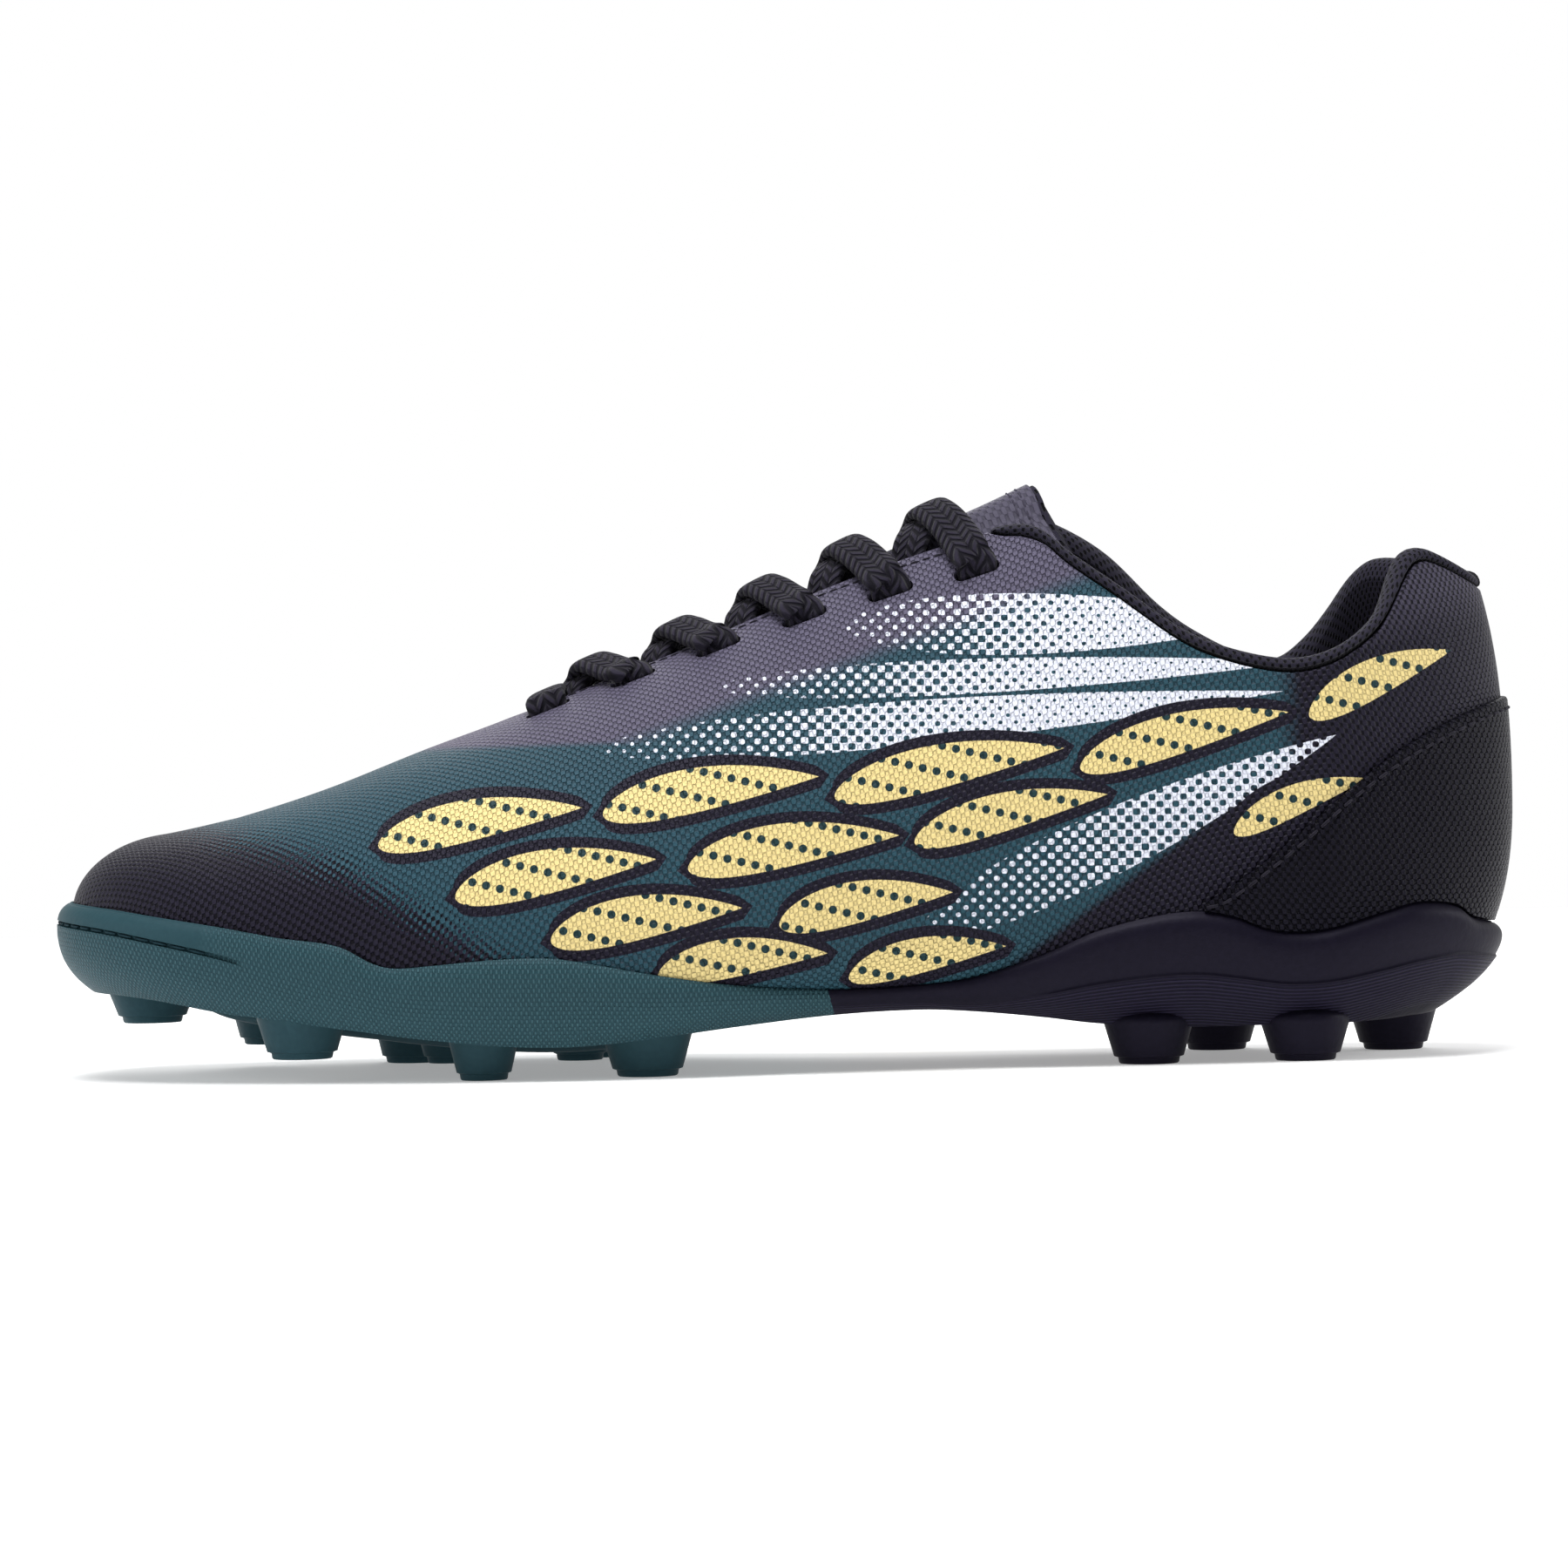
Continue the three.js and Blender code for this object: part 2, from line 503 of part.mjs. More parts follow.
function eyeletCutter(side, row) {
  const length = laceWidth + 2 * eyeletClearance;
  const width = laceThickness + 2 * eyeletClearance;
  const r = width / 2;
  const straight = length / 2 - r;
  const slot = new THREE.Shape();
  slot.moveTo(-straight, -r).lineTo(straight, -r);
  slot.absarc(straight, 0, r, -Math.PI / 2, Math.PI / 2, false);
  slot.lineTo(-straight, r).absarc(-straight, 0, r, Math.PI / 2, (3 * Math.PI) / 2, false);
  const depth = 4 * upperWall;
  const cutter = new THREE.ExtrudeGeometry(slot, { depth, bevelEnabled: false, curveSegments: 2 });
  cutter.translate(0, 0, -depth / 2);
  const { point, normal, lengthways } = surfaceFrame(side, eyeletAt(row), eyeletOut(side, row));
  const across = normal.clone().cross(lengthways).normalize();
  const long = across.clone().cross(normal).normalize();
  cutter.applyMatrix4(new THREE.Matrix4().makeBasis(long, across, normal).setPosition(point));
  return solidOf(cutter);
}

// The outsole: a cup with a curved side wall, one moulding in two colours
function soleOutside(ray, z) {
  const t = Math.max((z - ray.under) / (ray.edge - ray.under), 0);
  const foot = -ray.foot;
  const top = reachAt(ray, ray.edge) - ray.reach + ray.proud;
  const curve = foot + (top - foot) * (1 - Math.max(1 - t, 0) ** ray.bulge);
  const lip = (ray.proud - soleLip) * Math.exp(-(ray.edge - z) / lipRound);
  return ray.reach + curve - Math.min(lip, lip * t * 2);
}
function cupSolid() {
  const w = grooveWidth / 2;
  const band = 0.12; // most of the wall that the groove or step takes, each way
  const lower = [0, 0.15, 0.45];
  const upper = [0.6, 1];
  const outsideOf = (ray) => {
    const groove = ray.at < grooveEnd ? -grooveDepth : 0;
    const step = ray.at > heelStepStart ? heelStep : 0;
    const room = Math.min(w, (ray.edge - ray.under) * band);
    const low = ray.line - room;
    const high = ray.line + room;
    const at = (z, relief) => place(ray, soleOutside(ray, z) + relief, z);
    return [
      ...lower.map((t) => at(ray.under + (low - ray.under) * t, step * Math.min(t * 2, 1))),
      at(low, step),
      at(low + room * band, step || groove),
      at(high - room * band, groove),
      at(high, 0),
      ...upper.map((t) => at(high + (ray.edge - high) * t, 0)),
    ];
  };
  const insideOf = (ray) => {
    const levels = [...upperLevels.filter((level) => level > 0 && level <= bellyLevel)].reverse();
    const heights = levels.map((level) => Math.min(upperPoint(ray, level)[2], ray.edge));
    return [ray.edge, ...heights, ray.footbed].map((z) => {
      return place(ray, reachAt(ray, Math.max(z, ray.footbed + fitGap)) + fitGap, z);
    });
  };
  const profiles = rays.map((ray) => [...outsideOf(ray), ...insideOf(ray)]);
  const rings = profiles[0].map((_, k) => profiles.map((profile) => profile[k]));
  return tub(rings, outsideOf(rays[0]).length);
}

// A stud: a cone with a worn step at its foot, sunk into the sole above it
function studSolid({ at, across, ring, tip }) {
  const foot = tip * heelHeight;
  const root = along(soleLevels, "footbed", at) * heelHeight - studSink;
  const r = ring / 2;
  const profile = [
    [0, foot],
    [r * studTip, foot],
    [r * studTip * studDraft, foot + studRise],
    [r, foot + studRise * studShoulder],
    [r * studRoot, root],
    [0, root],
  ].map(([x, y]) => new THREE.Vector2(x, y));
  const cone = new THREE.LatheGeometry(profile, studSides).rotateX(Math.PI / 2);
  cone.translate(at * upperLength, across * half, 0);
  return solidOf(cone);
}

// The rib under the forefoot, sunk into the sole above it
const ribRake = 0.8; // width of the rib's foot over its root's, times
const ribCuts = 10;
function ribSolid() {
  const first = forefootRib[0].at;
  const run = forefootRib[forefootRib.length - 1].at - first;
  const cuts = Array.from({ length: ribCuts + 1 }, (_, i) => first + (run * i) / ribCuts);
  return bar(
    cuts.map((at) => {
      const footbed = along(soleLevels, "footbed", at) * heelHeight;
      const under = footbed - along(soleLevels, "depth", at) * soleThickness;
      const wide = along(forefootRib, "wide", at) * half;
      const low = under - along(forefootRib, "deep", at) * soleThickness;
      const high = under + soleThickness / 2;
      const flats = [[-wide, high], [-wide * ribRake, low], [wide * ribRake, low], [wide, high]];
      return flats.map(([y, z]) => ({ point: [at * upperLength, y, z], flat: [y, z] }));
    }),
  );
}

// The half of space before or behind the sloping joint between the sole's two colours
function jointBlock(forward) {
  const x = colourJoint * upperLength + (forward * fitGap) / 2;
  const reach = upperLength;
  const low = -heelHeight;
  const high = 6 * heelHeight;
  const leanAt = (z) => (-colourJointLean * z) / heelHeight;
  const shape = new THREE.Shape([
    new THREE.Vector2(x + leanAt(low), low),
    new THREE.Vector2(x + forward * reach, low),
    new THREE.Vector2(x + forward * reach, high),
    new THREE.Vector2(x + leanAt(high), high),
  ]);
  const wide = 2 * ballWidth;
  const block = new THREE.ExtrudeGeometry(shape, { depth: wide, bevelEnabled: false });
  return solidOf(block.rotateX(Math.PI / 2).translate(0, wide / 2, 0));
}

// The insole: a board that fills the upper's floor, its rim a little higher than its middle
const insoleRim = 0.8;
function insoleSolid() {
  const inset = upperWall + insoleMargin;
  const floor = (ray) => ray.footbed + 2 * fitGap;
  const ring = (inwards, up) => {
    return rays.map((ray) => place(ray, reachAt(ray, floor(ray), inset) - inwards, floor(ray) + up));
  };
  const rings = [
    ring(insoleRim, 0),
    ring(0, insoleRim),
    ring(0, insoleThickness + insoleRim),
    ring(3 * insoleRim, insoleThickness),
  ];
  return tub(rings, rings.length);
}

// The heel counter: a panel laid over the back of the upper, from the sole's edge up
const leastCounter = 0.6; // height of the panel where it runs out
function counterSolid() {
  const inner = -fitGap;
  const outer = -fitGap - counterThickness;
  const chosen = rays.filter((ray) => ray.at >= counterStart);
  const steps = [0, 0.2, 0.4, 0.6, 0.8, 1];
  return bar(
    chosen.map((ray) => {
      const low = ray.edge + fitGap;
      const high = Math.max(along(counterLine, "top", ray.at) * collarHeight, low + leastCounter);
      const at = (t, inset) => {
        const z = low + (high - low) * t;
        return { point: place(ray, reachAt(ray, z, inset), z), flat: [reachAt(ray, z, inset), z] };
      };
      const outside = steps.map((t) => at(t, outer));
      return [...outside, ...steps.map((t) => at(t, inner)).reverse()];
    }),
    (i) => i >= steps.length,
  );
}

// The collar lining: a padded band inside the collar that rolls over the upper's edge
const liningTaper = 0.06; // share of the length over which the padding fades in at the front
const liningThin = 0.22; // padding at the front, as a share of the full padding
const liningGap = 1.4 * fitGap; // clearance behind the lining
function liningPadAt(ray) {
  const share = Math.min(Math.max((ray.at - collarStart) / liningTaper, 0), 1);
  return liningPad * (liningThin + (1 - liningThin) * share);
}
function liningSolid() {
  const back = upperWall + liningGap;
  const chosen = rays.filter((ray) => ray.at >= collarStart);
  const levels = upperLevels.filter((level) => level > 0.5);
  return bar(
    chosen.map((ray) => {
      const pad = liningPadAt(ray);
      const roll = liningRoll * (0.5 + 0.5 * Math.min((2 * pad) / liningPad, 1));
      const top = upperPoint(ray, 1)[2];
      const at = (inset, z, up = 0) => {
        const out = reachAt(ray, Math.min(z, ray.crest - inset - 1), inset);
        return { point: place(ray, out, z + up), flat: [out, z + up] };
      };
      const behind = levels.map((level) => {
        return at(back, Math.max(upperPoint(ray, level, upperWall)[2], top - liningDepth));
      });
      return [
        ...behind,
        at(back, top, liningGap),
        at(fitGap, top, liningGap),
        at(2 * fitGap, top, roll * 0.6),
        at(upperWall, top, roll),
        at(back + pad * 0.45, top, roll * 0.9),
        at(back + pad * 0.85, top),
        at(back + pad, top - liningDepth / 5),
        at(back + pad * 0.9, top - liningDepth / 2),
        at(back + pad * 0.25 + 0.4, top - liningDepth),
      ];
    }),
    (i) => i === levels.length,
  );
}

// The tongue: a padded strap under the throat that stands out at its top
const tongueStations = 12;
const tongueSteps = 12;
const tongueSideInset = upperWall + 3 * fitGap;
const tongueTopInset = 1;
const tongueFoot = 0.55; // width at the foot, as a share of the full width
const crownMargin = 3.5; // tongue left flat beside each eyestay's edge
const crownMarginAtCollar = 6;
const leastCrown = 3;
function tonguePoint(share, across, under) {
  const side = across < 0 ? -1 : 1;
  const spread = Math.abs(across);
  const skew = (tongueEndSkew * share ** 4 * spread ** 1.5) / upperLength;
  const at = tongueStart + (tongueEnd - tongueStart) * share + skew;
  const ray = sideRay(side, at);
  const widthShare = tongueFoot + (1 - tongueFoot) * Math.min(share * 2, 1);
  const out = spread * tongueHalfWidth * widthShare;
  const ramp = Math.min(Math.max((at - collarStart) / liningTaper + 1, 0), 1);
  const clearOfLining = ramp * (liningPadAt(ray) + 3 * fitGap);
  const outside = tongueSideInset + clearOfLining * (spread > 0.5 ? 1 : spread / 0.5);
  const margin = crownMargin + (crownMarginAtCollar - crownMargin) * ramp;
  const crown = Math.max(1 - (out / Math.max(ray.open - margin, leastCrown)) ** 2, 0);
  const inset = outside - (outside - tongueTopInset * (1 - share ** 6)) * crown;
  return place(ray, out, heightAt(ray, out, inset + (under ? tongueThickness : 0)));
}
function tongueSolid() {
  const profile = (share) => {
    const spread = Array.from({ length: tongueSteps + 1 }, (_, i) => (2 * i) / tongueSteps - 1);
    const at = (across, under) => {
      const point = tonguePoint(share, across, under);
      return { point, flat: [point[1], point[2]] };
    };
    const top = spread.map((across) => at(across, false));
    return [...top, ...spread.map((across) => at(across, true)).reverse()];
  };
  const shares = Array.from({ length: tongueStations + 1 }, (_, i) => i / tongueStations);
  return bar(shares.map(profile));
}

// The laces: a bar across the lowest eyelets, then a crossing from each row to the next
function laceStrip(path) {
  const outline = [[-0.85, -1], [0.85, -1], [1, 0], [0.85, 1], [-0.85, 1], [-1, 0]];
  return bar(
    path.map(({ centre, normal }, i) => {
      const before = path[Math.max(i - 1, 0)].centre;
      const after = path[Math.min(i + 1, path.length - 1)].centre;
      const forward = after.clone().sub(before).normalize();
      const wide = normal.clone().cross(forward).normalize();
      const up = forward.clone().cross(wide).normalize();
      return outline.map(([u, v]) => {
        const flat = [(u * laceWidth) / 2, (v * laceThickness) / 2];
        const p = centre.clone().addScaledVector(wide, flat[0]).addScaledVector(up, flat[1]);
        return { point: p.toArray(), flat };
      });
    }),
  );
}
const laceLift = 1.4 * fitGap + laceThickness / 2;
const underEdge = 3; // how far inside the throat a crossing starts
const laceSteps = 6;
function lacePath(fromSide, fromX, fromOut, toSide, row, steps) {
  const toX = eyeletAt(row) * upperLength;
  const ridgeY = (x) => along(outline, "ridge", x / upperLength) * half;
  const y0 = ridgeY(fromX) + fromSide * fromOut;
  const y1 = ridgeY(toX) + toSide * eyeletOut(toSide, row);
  return Array.from({ length: steps + 1 }, (_, i) => {
    const x = fromX + ((toX - fromX) * i) / steps;
    const y = y0 + ((y1 - y0) * i) / steps - ridgeY(x);
    const { point, normal } = surfaceFrame(y < 0 ? -1 : 1, x / upperLength, Math.abs(y));
    return { centre: point.addScaledVector(normal, laceLift), normal };
  });
}
function lacePiece(row) {
  const x0 = eyeletAt(Math.max(row - 1, 0)) * upperLength;
  const start = [0, laceWidth * 1.1][row] ?? laceWidth * 0.4; // clear of the row before
  const strips = [-1, 1].map((side) => {
    const fromX = x0 + start;
    const edge = sideRay(-side, fromX / upperLength).open;
    const out = row === 0 ? 0 : Math.max(edge - underEdge, underEdge / 2);
    return laceStrip(lacePath(-side, fromX, out, side, row, row === 0 ? laceSteps / 2 : laceSteps));
  });
  return strips[0].add(strips[1]);
}

// Materials, one for each finish
const finish = (color, roughness) => new THREE.MeshStandardMaterial({ color, roughness, metalness: 0 });
const materials = {
  synthetic: finish(0x24363a, 0.5),
  counter: finish(0x17171b, 0.5),
  tealRubber: finish(0x2c5253, 0.65),
  blackRubber: finish(0x1b1a22, 0.6),
  mesh: finish(0x131315, 0.9),
  tongue: finish(0x2b2930, 0.8),
  insole: finish(0x1d1d20, 0.9),
  lace: finish(0x0f0f11, 0.85),
};

const cleat = new THREE.Group();
function addNode(name, solid, material) {
  const { vertProperties, triVerts, numProp } = solid.getMesh();
  const points = new Float32Array((vertProperties.length / numProp) * 3);
  for (let i = 0; i < points.length / 3; i++) {
    points.set(vertProperties.subarray(i * numProp, i * numProp + 3), i * 3);
  }
  const geometry = new THREE.BufferGeometry();
  geometry.setAttribute("position", new THREE.BufferAttribute(points, 3));
  geometry.setIndex(new THREE.BufferAttribute(new Uint32Array(triVerts), 1));
  geometry.computeVertexNormals();
  const mesh = new THREE.Mesh(geometry, material);
  mesh.name = name;
  cleat.add(mesh);
}

const eyelets = [-1, 1].flatMap((side) =>
  Array.from({ length: eyeletRows }, (_, row) => eyeletCutter(side, row)),
);
const studded = studs.map(studSolid).reduce((all, stud) => all.add(stud), cupSolid().add(ribSolid()));
addNode("outsole_forefoot", studded.intersect(jointBlock(-1)), materials.tealRubber);
addNode("outsole_heel", studded.intersect(jointBlock(1)), materials.blackRubber);
addNode("upper", eyelets.reduce((shell, hole) => shell.subtract(hole), upperSolid()), materials.synthetic);
addNode("heel_counter", counterSolid(), materials.counter);
addNode("collar_lining", liningSolid(), materials.mesh);
addNode("tongue", tongueSolid(), materials.tongue);
addNode("insole", insoleSolid(), materials.insole);
for (let row = 0; row < eyeletRows; row++) {
  addNode(`lace_row_${row + 1}`, lacePiece(row), materials.lace);
}

// The frame: the origin goes to the middle of the shoe's box, on the ground
const box = new THREE.Box3().setFromObject(cleat);
const centre = box.getCenter(new THREE.Vector3());
cleat.position.set(-centre.x, -centre.y, -box.min.z);

export default cleat;
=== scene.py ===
import math

import bpy
import numpy as np
from mathutils import Matrix, Vector


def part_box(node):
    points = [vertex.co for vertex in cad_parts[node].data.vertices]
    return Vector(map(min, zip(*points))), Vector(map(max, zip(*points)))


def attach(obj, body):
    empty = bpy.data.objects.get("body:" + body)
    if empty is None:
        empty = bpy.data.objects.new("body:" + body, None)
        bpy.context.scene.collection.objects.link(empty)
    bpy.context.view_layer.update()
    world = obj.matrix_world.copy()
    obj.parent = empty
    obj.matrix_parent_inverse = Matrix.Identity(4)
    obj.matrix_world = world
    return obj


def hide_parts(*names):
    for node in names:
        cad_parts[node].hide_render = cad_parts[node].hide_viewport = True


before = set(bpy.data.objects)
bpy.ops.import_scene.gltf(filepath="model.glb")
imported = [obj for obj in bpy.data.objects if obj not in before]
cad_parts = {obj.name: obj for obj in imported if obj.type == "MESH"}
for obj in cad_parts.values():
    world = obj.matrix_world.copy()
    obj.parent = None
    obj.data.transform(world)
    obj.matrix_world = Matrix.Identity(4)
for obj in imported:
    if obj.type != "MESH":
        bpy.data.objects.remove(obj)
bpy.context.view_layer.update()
scene = bpy.context.scene
mm = 0.001


# The studio: a camera level with the shoe's side, held a little turned, as the photograph was
# taken, a white floor that runs up into a white room, and large soft lamps above and beside it.
camera_place = (0.0004, -1.0, 0.0552)
camera_roll = -1.15
camera_lens = 116.28
film_width = 36
camera_data = bpy.data.cameras.new("studio_camera")
camera_data.lens = camera_lens
camera_data.sensor_width = film_width
camera = bpy.data.objects.new("studio_camera", camera_data)
look_level = Matrix.Rotation(math.radians(90), 4, "X")
rolled = Matrix.Rotation(math.radians(camera_roll), 4, "Z")
camera.matrix_world = Matrix.Translation(camera_place) @ look_level @ rolled
scene.collection.objects.link(camera)
scene.camera = camera
scene.view_settings.view_transform = "Standard"


def soft_lamp(name, place, aim, size, power):
    """A square studio lamp that shines from place towards aim."""
    data = bpy.data.lights.new(name, "AREA")
    data.size = size
    data.energy = power
    lamp = bpy.data.objects.new(name, data)
    facing = (Vector(aim) - Vector(place)).to_track_quat("-Z", "Y").to_matrix().to_4x4()
    lamp.matrix_world = Matrix.Translation(place) @ facing
    scene.collection.objects.link(lamp)


shoe_middle = (0, 0, 0.05)
soft_lamp("lamp_above", (-0.1, -0.2, 1.0), shoe_middle, 0.6, 13)
soft_lamp("lamp_left", (-0.95, -0.3, 0.5), shoe_middle, 0.6, 2.4)
soft_lamp("lamp_right", (1.0, 0.1, 0.4), shoe_middle, 0.4, 3.5)
soft_lamp("lamp_behind", (0.1, 0.9, 0.8), (0, 0.2, 0), 0.9, 6)


def add(tree, kind, inputs=None, **settings):
    """A shader node with its settings, and its inputs given as values or as links."""
    made = tree.nodes.new(kind)
    for name, value in settings.items():
        setattr(made, name, value)
    for socket, value in (inputs or {}).items():
        if isinstance(value, bpy.types.NodeSocket):
            tree.links.new(value, made.inputs[socket])
        else:
            made.inputs[socket].default_value = value
    return made


def calc(tree, operation, *values):
    """What a Math node makes of its values."""
    return add(tree, "ShaderNodeMath", dict(enumerate(values)), operation=operation).outputs[0]


def times(tree, first, second):
    """The product of two values."""
    return calc(tree, "MULTIPLY", first, second)


def plus(tree, first, second):
    """The sum of two values."""
    return calc(tree, "ADD", first, second)


def minus(tree, first, second):
    """The first value less the second."""
    return calc(tree, "SUBTRACT", first, second)


def ramp(tree, value, low, high, first=0.0, second=1.0):
    """A value that goes smoothly from first to second as another goes from low to high."""
    inputs = {"Value": value, "From Min": low, "From Max": high, "To Min": first, "To Max": second}
    return add(tree, "ShaderNodeMapRange", inputs, interpolation_type="SMOOTHSTEP").outputs[0]


# The wall behind the shoe is white, and the rest of the room and its ceiling are dimmer.
dim_light = 0.3
white_room = bpy.data.worlds.new("white_room")
white_room.use_nodes = True
room_tree = white_room.node_tree
direction = add(room_tree, "ShaderNodeTexCoord").outputs["Generated"]
_, backwards_part, upwards_part = add(room_tree, "ShaderNodeSeparateXYZ", {0: direction}).outputs
wall_light = ramp(room_tree, backwards_part, -0.3, 0.6, dim_light, 1.0)
ceiling_light = ramp(room_tree, upwards_part, 0.2, 0.5, 1.0, dim_light)
background = room_tree.nodes["Background"].inputs
background["Color"].default_value = (1, 1, 1, 1)
room_tree.links.new(times(room_tree, wall_light, ceiling_light), background["Strength"])
scene.world = white_room

bpy.ops.object.select_all(action="DESELECT")
bpy.ops.mesh.primitive_plane_add(size=2.0)
floor = bpy.context.object
floor.name = "studio_floor"
floor_paint = bpy.data.materials.new("floor_paint")
floor_paint.use_nodes = True
floor_shader = floor_paint.node_tree.nodes["Principled BSDF"].inputs
floor_shader["Base Color"].default_value = (0.86, 0.86, 0.86, 1)
floor_shader["Roughness"].default_value = 0.8
floor_shader["Emission Color"].default_value = (1, 1, 1, 1)
floor_shader["Emission Strength"].default_value = 0.3
floor.data.materials.append(floor_paint)


# The upper: one shell of coated synthetic, 2 mm thick, pulled over the last and closed under it.
# Its skin is embossed with a fine woven grain and printed before it is cut. The last is given
# by sections, and every other piece of the shoe is worked out from the same form.
upper_length = 283.0
ball_width = 97.0
instep_height = 109.5
collar_height = 75.0
heel_height = 11.0
wall = 2.0
fit_gap = 0.3
sole_thickness = 4.0
half = ball_width / 2


def table(columns, rows):
    """Named columns of numbers from rows of them."""
    return dict(zip(columns.split(), np.array(rows, float).T))


# at: share of the length. lateral, medial, ridge, tuck, foot: shares of half the ball width.
# crest, belly: shares of the instep height. full, crown: exponents of the rounded section.
# proud: sole wall outside the upper, in sole thicknesses. bulge: exponent of its curve.
last = table(
    "at lateral medial ridge crest belly tuck full crown foot proud bulge",
    (
        (0.0, 0.3, 0.3, 0.13, 0.425, 0.301, 0.12, 2.0, 1.95, 0.08, 0.9, 3.6),
        (0.07, 0.6, 0.7, 0.12, 0.436, 0.292, 0.12, 2.0, 1.95, 0.08, 0.82, 3.6),
        (0.115, 0.74, 0.84, 0.11, 0.463, 0.283, 0.12, 2.05, 1.95, 0.07, 0.65, 3.6),
        (0.178, 0.865, 0.92, 0.09, 0.512, 0.256, 0.12, 2.1, 1.95, 0.07, 0.55, 3.2),
        (0.249, 0.955, 0.98, 0.07, 0.581, 0.232, 0.12, 2.1, 1.9, 0.07, 0.5, 3.0),
        (0.302, 0.995, 0.995, 0.06, 0.629, 0.222, 0.12, 2.05, 1.88, 0.07, 0.5, 3.0),
        (0.355, 1.01, 0.965, 0.05, 0.683, 0.22, 0.13, 2.0, 1.85, 0.08, 0.5, 3.0),
        (0.426, 0.98, 0.865, 0.05, 0.757, 0.225, 0.15, 1.95, 1.8, 0.13, 0.45, 2.8),
        (0.496, 0.9, 0.745, 0.05, 0.841, 0.237, 0.17, 1.9, 1.75, 0.19, 0.4, 2.6),
        (0.567, 0.825, 0.66, 0.04, 0.922, 0.255, 0.18, 1.9, 1.75, 0.21, 0.4, 2.4),
        (0.638, 0.775, 0.635, 0.03, 0.995, 0.28, 0.19, 1.9, 1.75, 0.2, 0.45, 2.3),
        (0.708, 0.745, 0.645, 0.02, 1.066, 0.31, 0.19, 1.95, 1.75, 0.17, 0.6, 2.2),
        (0.779, 0.73, 0.67, 0.01, 1.118, 0.347, 0.19, 2.0, 1.85, 0.17, 0.72, 2.1),
        (0.85, 0.71, 0.69, 0.0, 1.138, 0.395, 0.2, 2.0, 2.15, 0.18, 0.8, 2.0),
        (0.878, 0.69, 0.68, 0.0, 1.137, 0.415, 0.21, 2.0, 2.35, 0.19, 0.82, 2.0),
        (1.0, 0.4, 0.4, 0.0, 1.137, 0.475, 0.23, 2.0, 2.35, 0.31, 0.9, 1.9),
    ),
)
# Heights of the footbed, of the sole's upper edge and of the line on its side, as shares of the
# heel height, and the sole's depth under the footbed, in sole thicknesses.
sole_levels = table(
    "at footbed edge line depth",
    (
        (0.0, 2.16, 3.15, 2.81, 1.65),
        (0.04, 2.0, 3.03, 2.66, 1.35),
        (0.072, 1.83, 2.9, 2.49, 1.15),
        (0.115, 1.62, 2.72, 2.23, 1.08),
        (0.157, 1.46, 2.52, 1.9, 1.02),
        (0.198, 1.29, 2.36, 1.6, 0.97),
        (0.221, 1.2, 2.06, 1.45, 0.94),
        (0.235, 1.14, 1.97, 1.38, 0.92),
        (0.262, 1.05, 2.01, 1.32, 0.9),
        (0.302, 0.94, 2.09, 1.28, 0.88),
        (0.34, 0.895, 2.1, 1.27, 0.88),
        (0.367, 0.91, 1.99, 1.26, 0.88),
        (0.413, 1.02, 1.76, 1.22, 0.88),
        (0.466, 1.17, 1.55, 1.22, 0.9),
        (0.53, 1.3, 1.43, 1.2, 0.86),
        (0.588, 1.34, 1.47, 1.2, 0.84),
        (0.624, 1.31, 1.59, 1.14, 0.9),
        (0.67, 1.2, 1.95, 1.3, 0.94),
        (0.705, 1.09, 2.33, 1.46, 0.97),
        (0.747, 1.02, 2.59, 1.58, 1.0),
        (0.776, 1.0, 2.65, 1.6, 1.0),
        (0.8, 1.0, 2.54, 1.53, 1.0),
        (0.818, 1.0, 2.35, 1.46, 1.0),
        (0.836, 1.0, 2.26, 1.4, 1.0),
        (0.864, 1.0, 2.3, 1.42, 1.0),
        (0.905, 1.02, 2.58, 1.6, 1.0),
        (0.928, 1.04, 2.72, 1.72, 1.02),
        (0.958, 1.08, 2.65, 1.82, 1.04),
        (0.973, 1.1, 2.44, 1.8, 1.08),
        (1.0, 1.14, 2.3, 1.72, 1.12),
    ),
)
# Heights of the collar's edge, as shares of the collar height.
top_line = table(
    "at lateral medial",
    (
        (0.62, 1.42, 1.43),
        (0.648, 1.372, 1.398),
        (0.664, 1.366, 1.39),
        (0.68, 1.343, 1.385),
        (0.694, 1.292, 1.376),
        (0.73, 1.19, 1.297),
        (0.767, 1.084, 1.164),
        (0.792, 1.037, 1.095),
        (0.829, 0.999, 1.026),
        (0.854, 0.998, 1.014),
        (0.879, 1.031, 1.09),
        (0.908, 1.105, 1.21),
        (0.925, 1.19, 1.255),
        (0.938, 1.252, 1.272),
        (0.952, 1.278, 1.272),
        (0.968, 1.264, 1.262),
        (0.99, 1.226, 1.226),
        (1.0, 1.208, 1.208),
    ),
)
# Half the opening of the throat between the eyestays, as a share of half its gap at the top.
throat_gap = 25.0
throat = table(
    "at open",
    (
        (0.306, 0.0),
        (0.311, 0.26),
        (0.32, 0.42),
        (0.335, 0.52),
        (0.415, 0.69),
        (0.53, 0.86),
        (0.645, 1.0),
        (0.7, 1.04),
    ),
)
throat_start = 0.306
collar_start = 0.648
toe_turn = 0.115
heel_turn = 0.878
toe_ridge = 0.042
tuck_power = 2.6
belly_level = 0.25
belly_clearance = 6.0
edge_clearance = 1.0
collar_reach = 0.03


